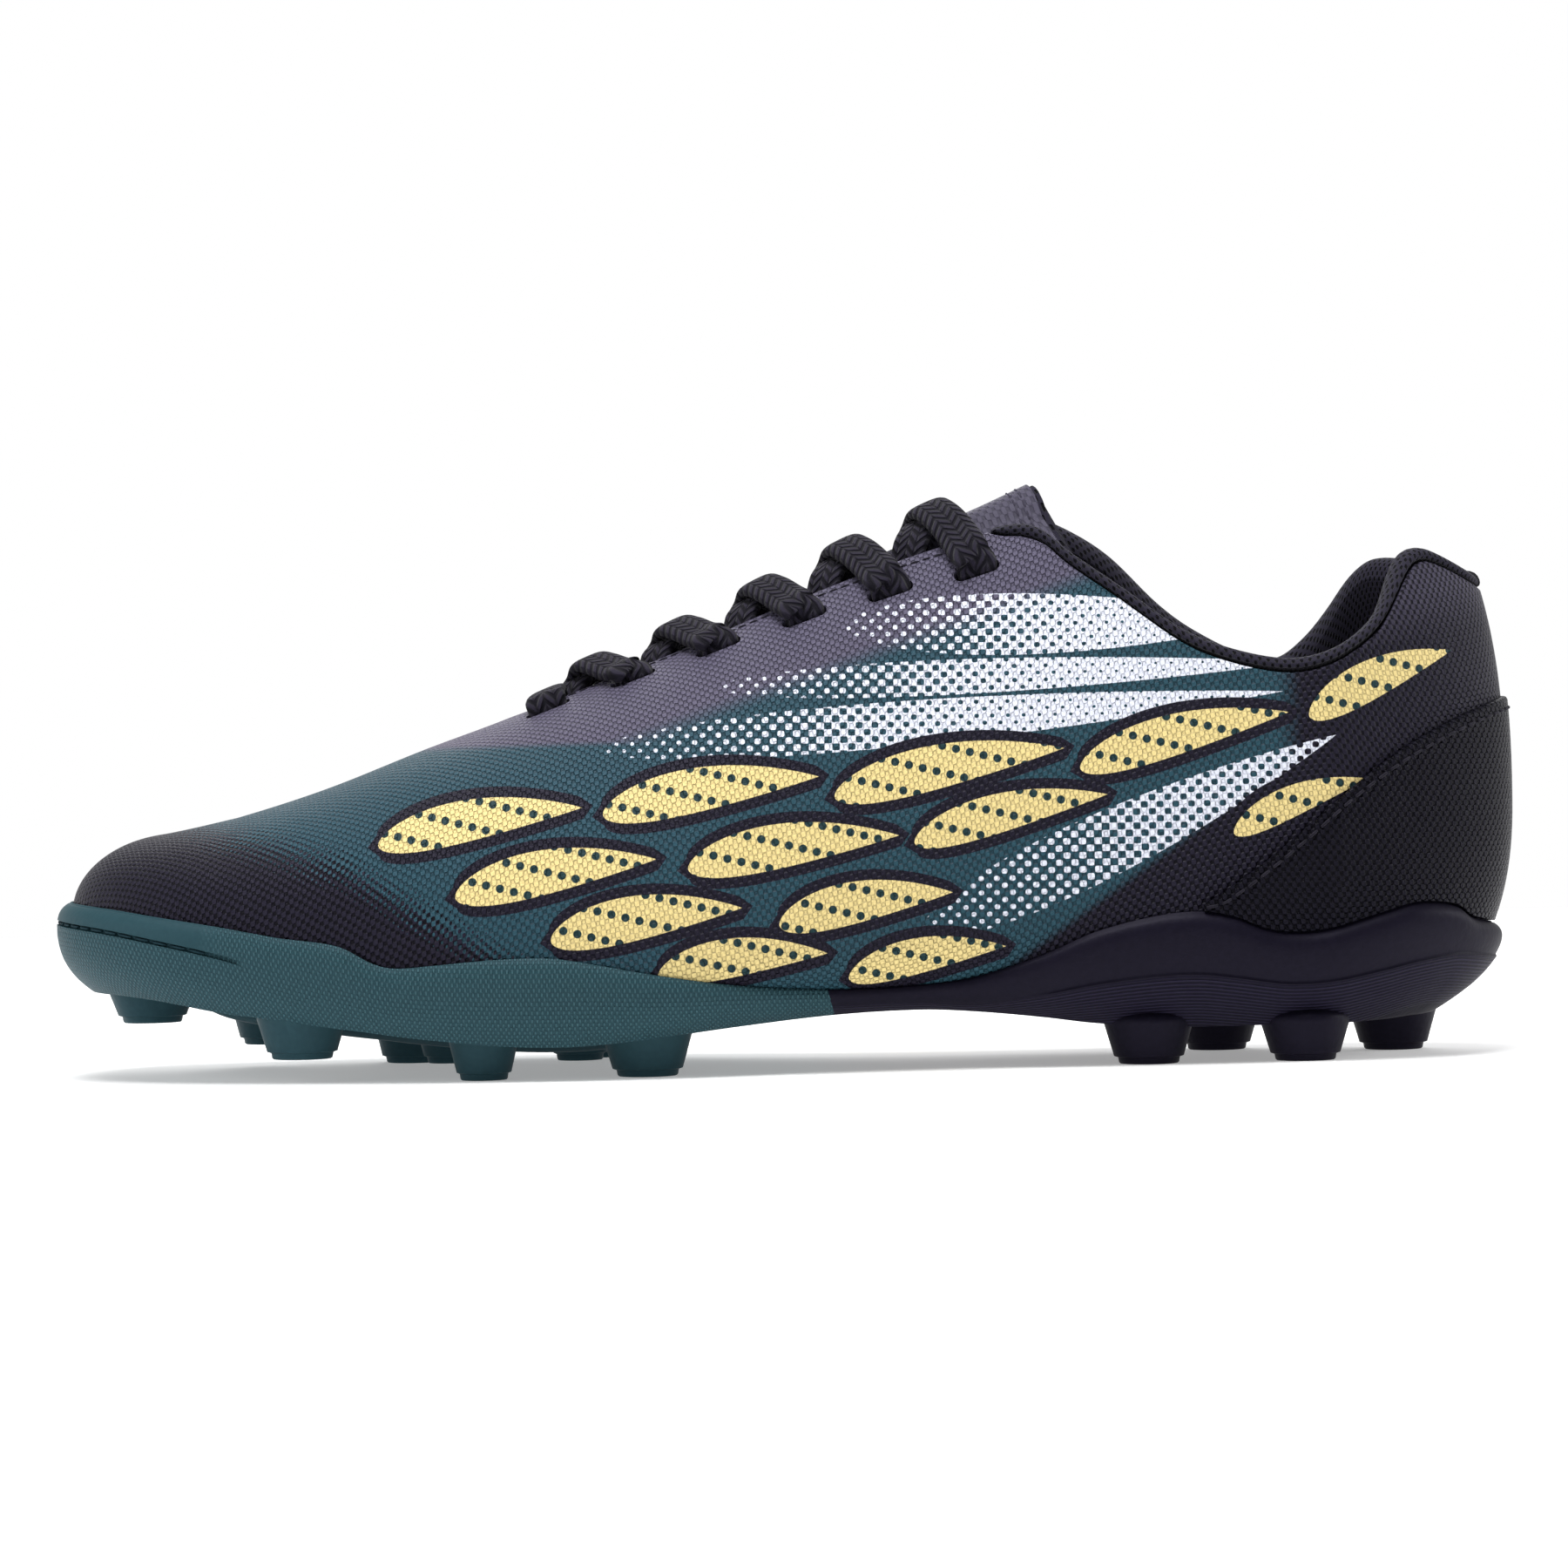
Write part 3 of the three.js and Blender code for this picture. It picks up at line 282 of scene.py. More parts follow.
def along(columns, name, at):
    """A column of a table at shares of the length, on a smooth curve through its rows."""
    x = columns["at"]
    y = columns[name]
    slope = np.empty_like(y)
    slope[1:-1] = (y[2:] - y[:-2]) / (x[2:] - x[:-2])
    slope[0] = (y[1] - y[0]) / (x[1] - x[0])
    slope[-1] = (y[-1] - y[-2]) / (x[-1] - x[-2])
    at = np.clip(at, x[0], x[-1])
    i = np.clip(np.searchsorted(x, at, side="right") - 1, 0, len(x) - 2)
    span = x[i + 1] - x[i]
    t = (at - x[i]) / span
    rise = y[i] * (2 * t**3 - 3 * t**2 + 1) + y[i + 1] * (3 * t**2 - 2 * t**3)
    return rise + span * (slope[i] * (t**3 - 2 * t**2 + t) + slope[i + 1] * (t**3 - t**2))


def ridge_line(at):
    """How far to the side the ridge of the shoe lies, at shares of its length."""
    return along(last, "ridge", at) * half


def throat_half(at):
    """Half the opening between the eyestays, at shares of the length."""
    return along(throat, "open", at) * throat_gap / 2


def sole_heights(at):
    """The heights of the footbed and of the sole's underside, at shares of the length."""
    footbed = along(sole_levels, "footbed", at) * heel_height
    return footbed, footbed - along(sole_levels, "depth", at) * sole_thickness


class Rays:
    """Rays of the last: each runs from the ridge of the shoe out and down to its outline."""

    def __init__(self, side, ridge_at, x, y):
        self.side = np.asarray(side, float)
        self.at = x / upper_length
        self.ridge_at = ridge_at
        self.ridge_x = ridge_at * upper_length
        self.ridge_y = ridge_line(ridge_at)
        self.reach = np.hypot(x - self.ridge_x, y - self.ridge_y)
        self.ex = (x - self.ridge_x) / self.reach
        self.ey = (y - self.ridge_y) / self.reach
        self.crest = along(last, "crest", ridge_at) * instep_height
        self.full = along(last, "full", ridge_at)
        self.crown = along(last, "crown", ridge_at)
        self.footbed, self.under = sole_heights(self.at)
        belly = along(last, "belly", self.at) * instep_height
        self.belly = np.maximum(belly, self.footbed + belly_clearance)
        self.tuck = along(last, "tuck", self.at) * half
        self.foot = along(last, "foot", self.at) * half
        self.proud = along(last, "proud", self.at) * sole_thickness
        self.bulge = along(last, "bulge", self.at)
        edge = along(sole_levels, "edge", self.at) * heel_height
        self.edge = np.maximum(edge, self.footbed + edge_clearance)
        self.line = along(sole_levels, "line", self.at) * heel_height
        lateral_top = along(top_line, "lateral", self.at)
        medial_top = along(top_line, "medial", self.at)
        self.top_line = np.where(self.side < 0, lateral_top, medial_top) * collar_height
        self.open = np.where(ridge_at < throat_start, 0, throat_half(ridge_at))

    def picked(self, chosen):
        """The rays that are chosen, in their order."""
        few = object.__new__(Rays)
        few.__dict__ = {name: value[chosen] for name, value in self.__dict__.items()}
        return few

    def reach_at(self, z, inset=0.0):
        """How far out the last stands at height z, moved inwards by inset."""
        reach = self.reach - inset
        down = np.clip((self.belly - z) / (self.belly - self.footbed), 0, 1.2)
        up = np.clip((z - self.belly) / (self.crest - inset - self.belly), 0, 1)
        low = reach - self.tuck * down**tuck_power
        return np.where(z <= self.belly, low, reach * (1 - up**self.crown) ** (1 / self.full))

    def height_at(self, out, inset=0.0):
        """How high the last stands at a distance out from its ridge."""
        share = np.clip(out / (self.reach - inset), 0, 1)
        rise = (1 - share**self.full) ** (1 / self.crown)
        return self.belly + (self.crest - inset - self.belly) * rise

    def place(self, out, z):
        """Points at distances out from the ridge and heights z."""
        z = z + 0 * self.reach
        return np.stack([self.ridge_x + self.ex * out, self.ridge_y + self.ey * out, z], -1)

    def outward(self):
        """Level steps of 1 mm straight out along the rays."""
        return np.stack([self.ex, self.ey, 0 * self.ex], -1)

    def top_angle(self, inset):
        """Where the upper ends: at the ridge, at the throat or at the collar's edge."""
        opening = np.minimum(self.open / (self.reach - inset), 1)
        at_throat = np.arccos(opening ** (self.full / 2))
        rise = (self.top_line - self.belly) / (self.crest - inset - self.belly)
        at_collar = np.arcsin(np.clip(rise, 0, 1) ** (self.crown / 2))
        collared = (self.at >= collar_start - collar_reach) & (rise < 1)
        return np.where(collared, np.minimum(at_throat, at_collar), at_throat)

    def upper_point(self, level, inset=0.0):
        """The upper's surface: level 0 is its foot in the sole, 1 its top edge."""
        level = level + 0 * self.reach
        foot = self.footbed + fit_gap
        low_z = foot + (self.belly - foot) * level / belly_level
        angle = self.top_angle(inset) * np.clip(level - belly_level, 0, 1) / (1 - belly_level)
        out = (self.reach - inset) * np.maximum(np.cos(angle), 0) ** (2 / self.full)
        rise = (self.crest - inset - self.belly) * np.sin(angle) ** (2 / self.crown)
        is_low = level < belly_level
        out = np.where(is_low, self.reach_at(low_z, inset), np.where(out < 1e-6, 0, out))
        return self.place(out, np.where(is_low, low_z, self.belly + rise))


def side_rays(side, at):
    """Rays on the side of the shoe, at shares of its length."""
    at = np.asarray(at, float)
    side = np.broadcast_to(np.asarray(side, float), at.shape)
    wide = np.where(side < 0, along(last, "lateral", at), along(last, "medial", at))
    return Rays(side, at, at * upper_length, side * wide * half)


def end_rays(side, turn, start, run, roundness, ridge_run):
    """Rays round the toe or the heel, whose outline is a rounded corner of the sides."""
    name = "lateral" if side < 0 else "medial"
    power = 2 / roundness
    angle = turn * math.pi / 2
    away = run * np.sin(angle) ** power
    centre = ridge_line(start)
    step = math.copysign(0.004, run)
    wide = side * along(last, name, start) * half - centre
    before = side * along(last, name, start - step) * half - centre
    flare = (1 - before / wide) / step
    across = np.where(turn == 1, 0, np.maximum(np.cos(angle), 0) ** power * (1 + flare * away))
    x = (start + away) * upper_length
    sides = np.full(turn.shape, float(side))
    return Rays(sides, start + ridge_run * np.sin(angle), x, centre + wide * across)


def joined(*groups):
    """Several groups of rays as one."""
    whole = object.__new__(Rays)
    names = groups[0].__dict__
    whole.__dict__ = {name: np.concatenate([g.__dict__[name] for g in groups]) for name in names}
    return whole


# All rays, once round the shoe: toe tip, lateral side, heel, medial side. They stand closer
# where the throat starts. The fan holds shares of the quarter turn round the toe or the heel.
fan = np.linspace(0, 1, 27)[1:-1]
middle_ray = np.ones(1)
stations = np.concatenate(
    [
        np.linspace(toe_turn, throat_start, 34, endpoint=False),
        throat_start + np.array([0, 0.0006, 0.0014, 0.0026, 0.0042, 0.0064, 0.0092, 0.0128]),
        np.linspace(throat_start + 0.017, heel_turn, 102),
    ]
)
toe_round = {-1: 2.8, 1: 3.1}
heel_round = 2.5


def rays_of(side):
    """All the rays of one side, from the toe to the heel."""
    toe = end_rays(side, fan[::-1], toe_turn, -toe_turn, toe_round[side], -toe_ridge)
    heel = end_rays(side, fan, heel_turn, 1 - heel_turn, heel_round, 0)
    return joined(toe, side_rays(side, stations), heel)


lateral = rays_of(-1)
medial = rays_of(1)
toe_tip = end_rays(-1, middle_ray, toe_turn, -toe_turn, toe_round[-1], -toe_ridge)
heel_tip = end_rays(-1, middle_ray, heel_turn, 1 - heel_turn, heel_round, 0)
backwards = np.arange(len(medial.at))[::-1]
rays = joined(toe_tip, lateral, heel_tip, medial.picked(backwards))
ray_count = len(rays.at)
heel_index = ray_count // 2
upper_low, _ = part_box("upper")
widest = (rays.reach * rays.ey + rays.ridge_y).min()
shift = np.array([upper_low.x / mm, upper_low.y / mm - widest, 0])


def select_only(piece):
    """Make a piece the only selected and active one."""
    bpy.ops.object.select_all(action="DESELECT")
    piece.select_set(True)
    bpy.context.view_layer.objects.active = piece


sharp_angle = math.radians(42)


def mesh_from(name, points, faces, patterns=None, finishes=None):
    """A piece from points in mm and faces.

    patterns: a pattern coordinate in mm for each face corner. finishes: a material place for
    each face."""
    data = bpy.data.meshes.new(name)
    data.from_pydata(((np.asarray(points) + shift) * mm).tolist(), [], faces)
    if finishes is not None:
        data.polygons.foreach_set("material_index", finishes)
    if patterns is not None:
        layer = data.uv_layers.new(name="pattern")
        layer.data.foreach_set("uv", (np.asarray(patterns) * mm).ravel())
    piece = bpy.data.objects.new(name, data)
    scene.collection.objects.link(piece)
    select_only(piece)
    bpy.ops.object.mode_set(mode="EDIT")
    bpy.ops.mesh.select_all(action="SELECT")
    bpy.ops.mesh.remove_doubles(threshold=1e-6)
    bpy.ops.mesh.normals_make_consistent(inside=False)
    bpy.ops.object.mode_set(mode="OBJECT")
    bpy.ops.object.shade_smooth_by_angle(angle=sharp_angle)
    return piece


def ring_faces(ring_total, count, kept=None):
    """Quads between closed rings of points. kept(ring, i) tells which of them there are."""
    faces = []
    for ring in range(ring_total - 1):
        low = ring * count
        high = low + count
        for i in range(count):
            j = (i + 1) % count
            if kept is None or kept(ring, i):
                faces.append((low + i, low + j, high + j, high + i))
    return faces


# The distance round the shoe's outline from the toe tip, along the lateral side first, and where
# each side turns into the heel.
outline_points = rays.place(rays.reach, 0.0)
steps_round = np.linalg.norm(np.diff(outline_points, axis=0, append=outline_points[:1]), axis=1)
way_round = np.cumsum(steps_round) - steps_round
way_total = steps_round.sum()
lateral_half = slice(None, heel_index + 1)
medial_half = slice(None, heel_index - 1, -1)
turn_way = {
    -1: np.interp(heel_turn, rays.at[lateral_half], way_round[lateral_half]),
    1: np.interp(heel_turn, rays.at[medial_half], way_round[medial_half]),
}


def way_along(points):
    """The distance gone along rows of points, from 0 at the first."""
    steps = np.linalg.norm(np.diff(points, axis=0), axis=-1)
    return np.concatenate([0 * steps[:1], np.cumsum(steps, axis=0)])


def flat_pattern(rings, side):
    """Where points of the upper lie on the flat skin that it was cut from, in mm.

    The skin is unrolled from the ridge outwards, and behind the heel turn round the heel."""
    angle = np.linspace(0, math.pi / 2, 60)[:, None]
    curve_out = rays.reach * np.cos(angle) ** (2 / rays.full)
    curve_up = (rays.crest - rays.belly) * np.sin(angle) ** (2 / rays.crown)
    whole = np.hypot(np.diff(curve_out, axis=0), np.diff(curve_up, axis=0)).sum(0)
    foot_to_belly = rays.belly - rays.footbed - fit_gap
    down = whole + foot_to_belly - way_along(rings)
    around = heel_turn * upper_length + np.abs(way_round - turn_way[side])
    u = np.where(rays.at <= heel_turn, rays.ridge_x + rays.ex * down, around)
    v = np.where(rays.at <= heel_turn, rays.ridge_y + rays.ey * down, side * down)
    return np.stack([u, v], -1)


# Levels of the rings up the skin, and the rounded rim over its edge, by level and inset.
low_levels = np.linspace(0, belly_level, 15)[:-1]
high_levels = np.linspace(belly_level, 1, 58)[:-1]
rim_start = 0.99
rim = np.array([(0.992, 0), (0.997, 0.16), (1, 0.5), (1, 1.5), (0.997, 1.84), (0.992, 2.0)])
shut = (rays.open < 1e-6) & (rays.at < collar_start)


def upper_rings():
    """The upper's points: up the outside, over the rim and down the inside."""
    levels = np.concatenate([low_levels, high_levels[high_levels < rim_start]])
    outside = [rays.upper_point(level) for level in levels]
    over = []
    for k, (level, inset) in enumerate(rim):
        unrounded = rays.upper_point(level, 0 if k < len(rim) / 2 else wall)
        rounded = rays.upper_point(level, inset)
        over.append(np.where(shut[:, None], unrounded, rounded))
    inside = [rays.upper_point(level, wall) for level in levels[::-1]]
    return np.array(outside + over + inside + outside[:1]), len(levels) + len(rim) // 2


rings, rim_ring = upper_rings()


def open_rim(ring, i):
    """False for the wall that would stand in the closed toe, along the ridge."""
    return ring != rim_ring - 1 or not (shut[i] and shut[(i + 1) % ray_count])


faces = ring_faces(len(rings), ray_count, kept=open_rim)
patterns = {side: flat_pattern(rings, side).reshape(-1, 2) for side in (-1, 1)}
corners = [patterns[-1 if f[0] % ray_count < heel_index else 1][list(f)] for f in faces]
printed_rings = rim_ring - 1
finishes = [0 if f[0] // ray_count < printed_rings else 1 for f in faces]
upper = mesh_from("upper", rings.reshape(-1, 3), faces, np.concatenate(corners), finishes)


def join(pieces, name):
    """Several pieces as one."""
    bpy.ops.object.select_all(action="DESELECT")
    for piece in pieces:
        piece.select_set(True)
    bpy.context.view_layer.objects.active = pieces[0]
    bpy.ops.object.join()
    pieces[0].name = name
    return pieces[0]


def boolean(piece, other, operation):
    """Cut other out of a piece or add it to it, and remove other."""
    change = piece.modifiers.new("change", "BOOLEAN")
    change.operation = operation
    change.object = other
    change.solver = "EXACT"
    select_only(piece)
    bpy.ops.object.modifier_apply(modifier=change.name)
    bpy.data.objects.remove(other)


# Punched slots for the flat lace, one at each row on either eyestay.
eyelet_rows = 6
eyelet_pitch = 16.8
first_eyelet = 0.336
eyelet_inset = 7.0
slot_length = 9.3
slot_width = 3.3
punch_depth = 8.0


def surface_at(x, y):
    """The upper's surface over points of the plan, and its normals there."""

    def height(px, py):
        at = px / upper_length
        ridge_y = ridge_line(at)
        beside = side_rays(np.where(py < ridge_y, -1.0, 1.0), at)
        return beside.height_at(np.abs(py - ridge_y))

    step = 0.5
    z = height(x, y)
    slopes = [(z - height(x + step, y)) / step, (z - height(x, y + step)) / step, 1 + 0 * z]
    normal = np.stack(slopes, -1)
    normal /= np.linalg.norm(normal, axis=-1, keepdims=True)
    return np.stack([x, y, z], -1), normal


def eyelet_place(side, row):
    """Where an eyelet is in the plan."""
    at = first_eyelet + row * eyelet_pitch / upper_length
    return at * upper_length, ridge_line(at) + side * (throat_half(at) + eyelet_inset)


def punch(side, row):
    """The cutter of one slot, square to the upper."""
    x, y = eyelet_place(side, row)
    (spot,), (normal,) = surface_at(np.array([x]), np.array([y]))
    ahead = Vector(surface_at(np.array([x + 1]), np.array([y]))[0][0] - spot)
    up = Vector(normal)
    across = up.cross(ahead).normalized()
    turn = Matrix((across.cross(up), across, up)).transposed().to_4x4()
    bpy.ops.object.select_all(action="DESELECT")
    size = {"radius": slot_width / 2 * mm, "depth": punch_depth * mm}
    bpy.ops.mesh.primitive_cylinder_add(vertices=24, **size)
    cutter = bpy.context.object
    bpy.ops.object.mode_set(mode="EDIT")
    for forward in (-1, 1):
        bpy.ops.mesh.select_all(action="DESELECT")
        bpy.ops.object.mode_set(mode="OBJECT")
        for vertex in cutter.data.vertices:
            vertex.select = vertex.co.x * forward > 1e-5
        bpy.ops.object.mode_set(mode="EDIT")
        bpy.ops.transform.translate(value=(forward * (slot_length - slot_width) / 2 * mm, 0, 0))
    bpy.ops.object.mode_set(mode="OBJECT")
    cutter.data.transform(Matrix.Translation((Vector(spot) + Vector(shift)) * mm) @ turn)
    return cutter


slots = [punch(side, row) for side in (-1, 1) for row in range(eyelet_rows)]
boolean(upper, join(slots, "slots"), "DIFFERENCE")


def paint(red, green, blue):
    """A display colour, each part from 0 to 255, as the renderer's linear one."""
    parts = [c / 255 for c in (red, green, blue)]
    return (*[c / 12.92 if c <= 0.04045 else ((c + 0.055) / 1.055) ** 2.4 for c in parts], 1)


def mix(tree, share, below, above):
    """One colour over another, by a mask."""
    inputs = {0: share, 6: below, 7: above}
    return add(tree, "ShaderNodeMix", inputs, data_type="RGBA").outputs[2]


def effect(name, outputs, **sizes):
    """An empty shader node group that takes a Vector and sizes, each with its usual value.

    Returns it, the sockets that give its inputs and the sockets that take its outputs."""
    group = bpy.data.node_groups.new(name, "ShaderNodeTree")
    group.interface.new_socket("Vector", in_out="INPUT", socket_type="NodeSocketVector")
    for size, usual in sizes.items():
        made = group.interface.new_socket(size, in_out="INPUT", socket_type="NodeSocketFloat")
        made.default_value = usual
    for output in outputs:
        group.interface.new_socket(output, in_out="OUTPUT", socket_type="NodeSocketFloat")
    given = group.nodes.new("NodeGroupInput").outputs
    ready = group.nodes.new("NodeGroupOutput").inputs
    return group, given, ready


def axes(tree, vector):
    """The parts of a vector."""
    return add(tree, "ShaderNodeSeparateXYZ", {0: vector}).outputs


def wave(tree, value, length):
    """A wave along a value: 1 on its crests, -1 in its valleys."""
    return calc(tree, "COSINE", calc(tree, "DIVIDE", times(tree, value, 2 * math.pi), length))


def crossed_waves(tree, vector, pitch, row_pitch, slant=0.0):
    """A wave along a pattern, leaning by slant, and a wave across it."""
    x, y, _ = axes(tree, vector)
    return wave(tree, plus(tree, x, times(tree, y, slant)), pitch), wave(tree, y, row_pitch)


def lattice(tree, vector, pitch, row_pitch):
    """1 at the dots of a staggered lattice, -1 between them."""
    return times(tree, *crossed_waves(tree, vector, pitch, row_pitch))


# The embossed grain: raised lozenges in staggered rows, with a narrow valley round each and a
# pit where four meet. Height is 1 on a lozenge and 0 in the pits.
grain, given, ready = effect("embossed_grain", ["Height"], Pitch=0.0017, Rows=0.002, Slant=0.12)
crests = crossed_waves(grain, given["Vector"], given["Pitch"], given["Rows"], given["Slant"])
valley = ramp(grain, calc(grain, "ABSOLUTE", plus(grain, *crests)), -0.1, 0.8, 0.55, 1.0)
lozenge = times(grain, ramp(grain, times(grain, *crests), -0.75, 0.15), valley)
fine_noise = {"Vector": given["Vector"], "Scale": 2600.0, "Detail": 2.0}
fuzz = add(grain, "ShaderNodeTexNoise", fine_noise).outputs[0]
uneven = times(grain, minus(grain, fuzz, 0.5), 0.4)
grain.links.new(plus(grain, lozenge, uneven), ready["Height"])

# Halftone print: dots of ink that grow with the tone until they meet and leave dots bare.
halftone, given, ready = effect("halftone_print", ["Ink"], Pitch=0.003, Rows=0.0027, Tone=0.5)
dots = lattice(halftone, given["Vector"], given["Pitch"], given["Rows"])
level = minus(halftone, 1.0, times(halftone, given["Tone"], 2.0))
ink = ramp(halftone, minus(halftone, dots, level), -0.07, 0.07)
halftone.links.new(ink, ready["Ink"])

# Rows of round printed dots.
print_edge = 0.00008
dot_rows, given, ready = effect("dot_rows", ["Ink"], Pitch=0.0027, Rows=0.005, Radius=0.0008)
x, y, _ = axes(dot_rows, given["Vector"])
legs = []
for value, spacing in ((x, given["Pitch"]), (y, given["Rows"])):
    share = calc(dot_rows, "FRACT", calc(dot_rows, "DIVIDE", value, spacing))
    leg = times(dot_rows, minus(dot_rows, share, 0.5), spacing)
    legs.append(times(dot_rows, leg, leg))
away = calc(dot_rows, "SQRT", plus(dot_rows, *legs))
dot = ramp(dot_rows, minus(dot_rows, given["Radius"], away), -print_edge, print_edge)
dot_rows.links.new(dot, ready["Ink"])

# One leaf of the print: pointed at both ends, widest near its root. Inside is how far within
# its edge a point lies, in metres, and Along runs from 0 at its root to 1 at its tip.
leaf, given, ready = effect("printed_leaf", ["Inside", "Along"], Length=0.08, Width=0.01, Bend=0.0)
x, y, _ = axes(leaf, given["Vector"])
share = calc(leaf, "DIVIDE", x, given["Length"])
within = add(leaf, "ShaderNodeClamp", {0: share}).outputs[0]
root = calc(leaf, "POWER", within, 0.55)
remaining = minus(leaf, 1.0, within)
point = calc(leaf, "POWER", remaining, 0.95)
shape = times(leaf, times(leaf, root, point), 1.34)
half_wide = times(leaf, shape, given["Width"])
bow = times(leaf, times(leaf, within, remaining), 4.0)
spine = minus(leaf, y, times(leaf, bow, given["Bend"]))
inside = minus(leaf, half_wide, calc(leaf, "ABSOLUTE", spine))
past = calc(leaf, "ABSOLUTE", minus(leaf, share, within))
beyond = times(leaf, past, given["Length"])
leaf.links.new(minus(leaf, inside, beyond), ready["Inside"])
leaf.links.new(within, ready["Along"])


def placed(tree, group, inputs):
    """The outputs of a shader node group placed in a material with its own values."""
    return add(tree, "ShaderNodeGroup", inputs, node_tree=group).outputs


def new_finish(name, roughness, specular):
    """A material, its node tree and its shader's inputs. Its gloss has a bluish tint."""
    made = bpy.data.materials.new(name)
    made.use_nodes = True
    shader = made.node_tree.nodes["Principled BSDF"].inputs
    shader["Roughness"].default_value = roughness
    shader["Specular IOR Level"].default_value = specular
    shader["Specular Tint"].default_value = (0.82, 0.78, 1.0, 1.0)
    return made, made.node_tree, shader


def place_of(tree):
    """A point's place on the shoe, in metres."""
    return add(tree, "ShaderNodeTexCoord").outputs["Object"]


def pattern_of(tree):
    """The pattern coordinate of a piece, in metres on its flat skin."""
    return add(tree, "ShaderNodeUVMap", uv_map="pattern").outputs[0]


def bumped(tree, shader, height, depth):
    """Relief from a height between 0 and 1, depth metres deep."""
    bump = add(tree, "ShaderNodeBump", {"Height": height, "Distance": depth, "Strength": 1.0})
    tree.links.new(bump.outputs[0], shader["Normal"])


# The print: dark teal over the vamp and the quarter, charcoal at the eyestays, black at the toe
# and the heel, with halftone fades between them, pale halftone streaks under the collar and a
# drift of pale yellow leaves with rows of dark dots along the sides.
teal_ink = paint(42, 74, 86)
charcoal_ink = paint(88, 84, 103)
black_ink = paint(28, 26, 38)
lilac_ink = paint(230, 234, 248)
yellow_ink = paint(236, 214, 146)
green_ink = paint(34, 58, 60)
outline_width = 0.0021
leaf_bend = 1.6
grain_depth = 0.0005
dot_lean = -14
# Where each streak starts and ends on the side, x and z in mm, its width, and its tone at its
# start and towards its end.
streaks = (
    (13, 85.5, 95, 84.6, 12.0, 0.12, 0.93),
    (-12, 74.0, 99, 76.6, 6.8, 0.1, 0.93),
    (-35, 62.5, 96, 71.0, 8.8, 0.08, 0.9),
    (26, 26.5, 106, 62.5, 12.5, 0.16, 0.62),
)
# Where each leaf starts and ends, x and z in mm, and its width.
leaves = (
    (-77, 45.0, -38, 51.5, 8.0),
    (-34, 50.0, 7, 56.5, 8.5),
    (10, 52.5, 54, 61.0, 8.5),
    (57, 57.0, 97, 67.0, 8.0),
    (101, 66.0, 130, 78.5, 7.5),
    (-62, 35.0, -24, 41.5, 8.5),
    (-18, 39.5, 22, 45.0, 8.5),
    (25, 43.5, 62, 52.0, 7.5),
    (-44, 26.5, -8, 32.0, 8.5),
    (-1, 28.5, 32, 34.0, 8.0),
    (-24, 19.5, 8, 23.0, 7.5),
    (12, 18.0, 42, 23.5, 7.0),
    (86, 44.0, 112, 54.0, 6.0),
)


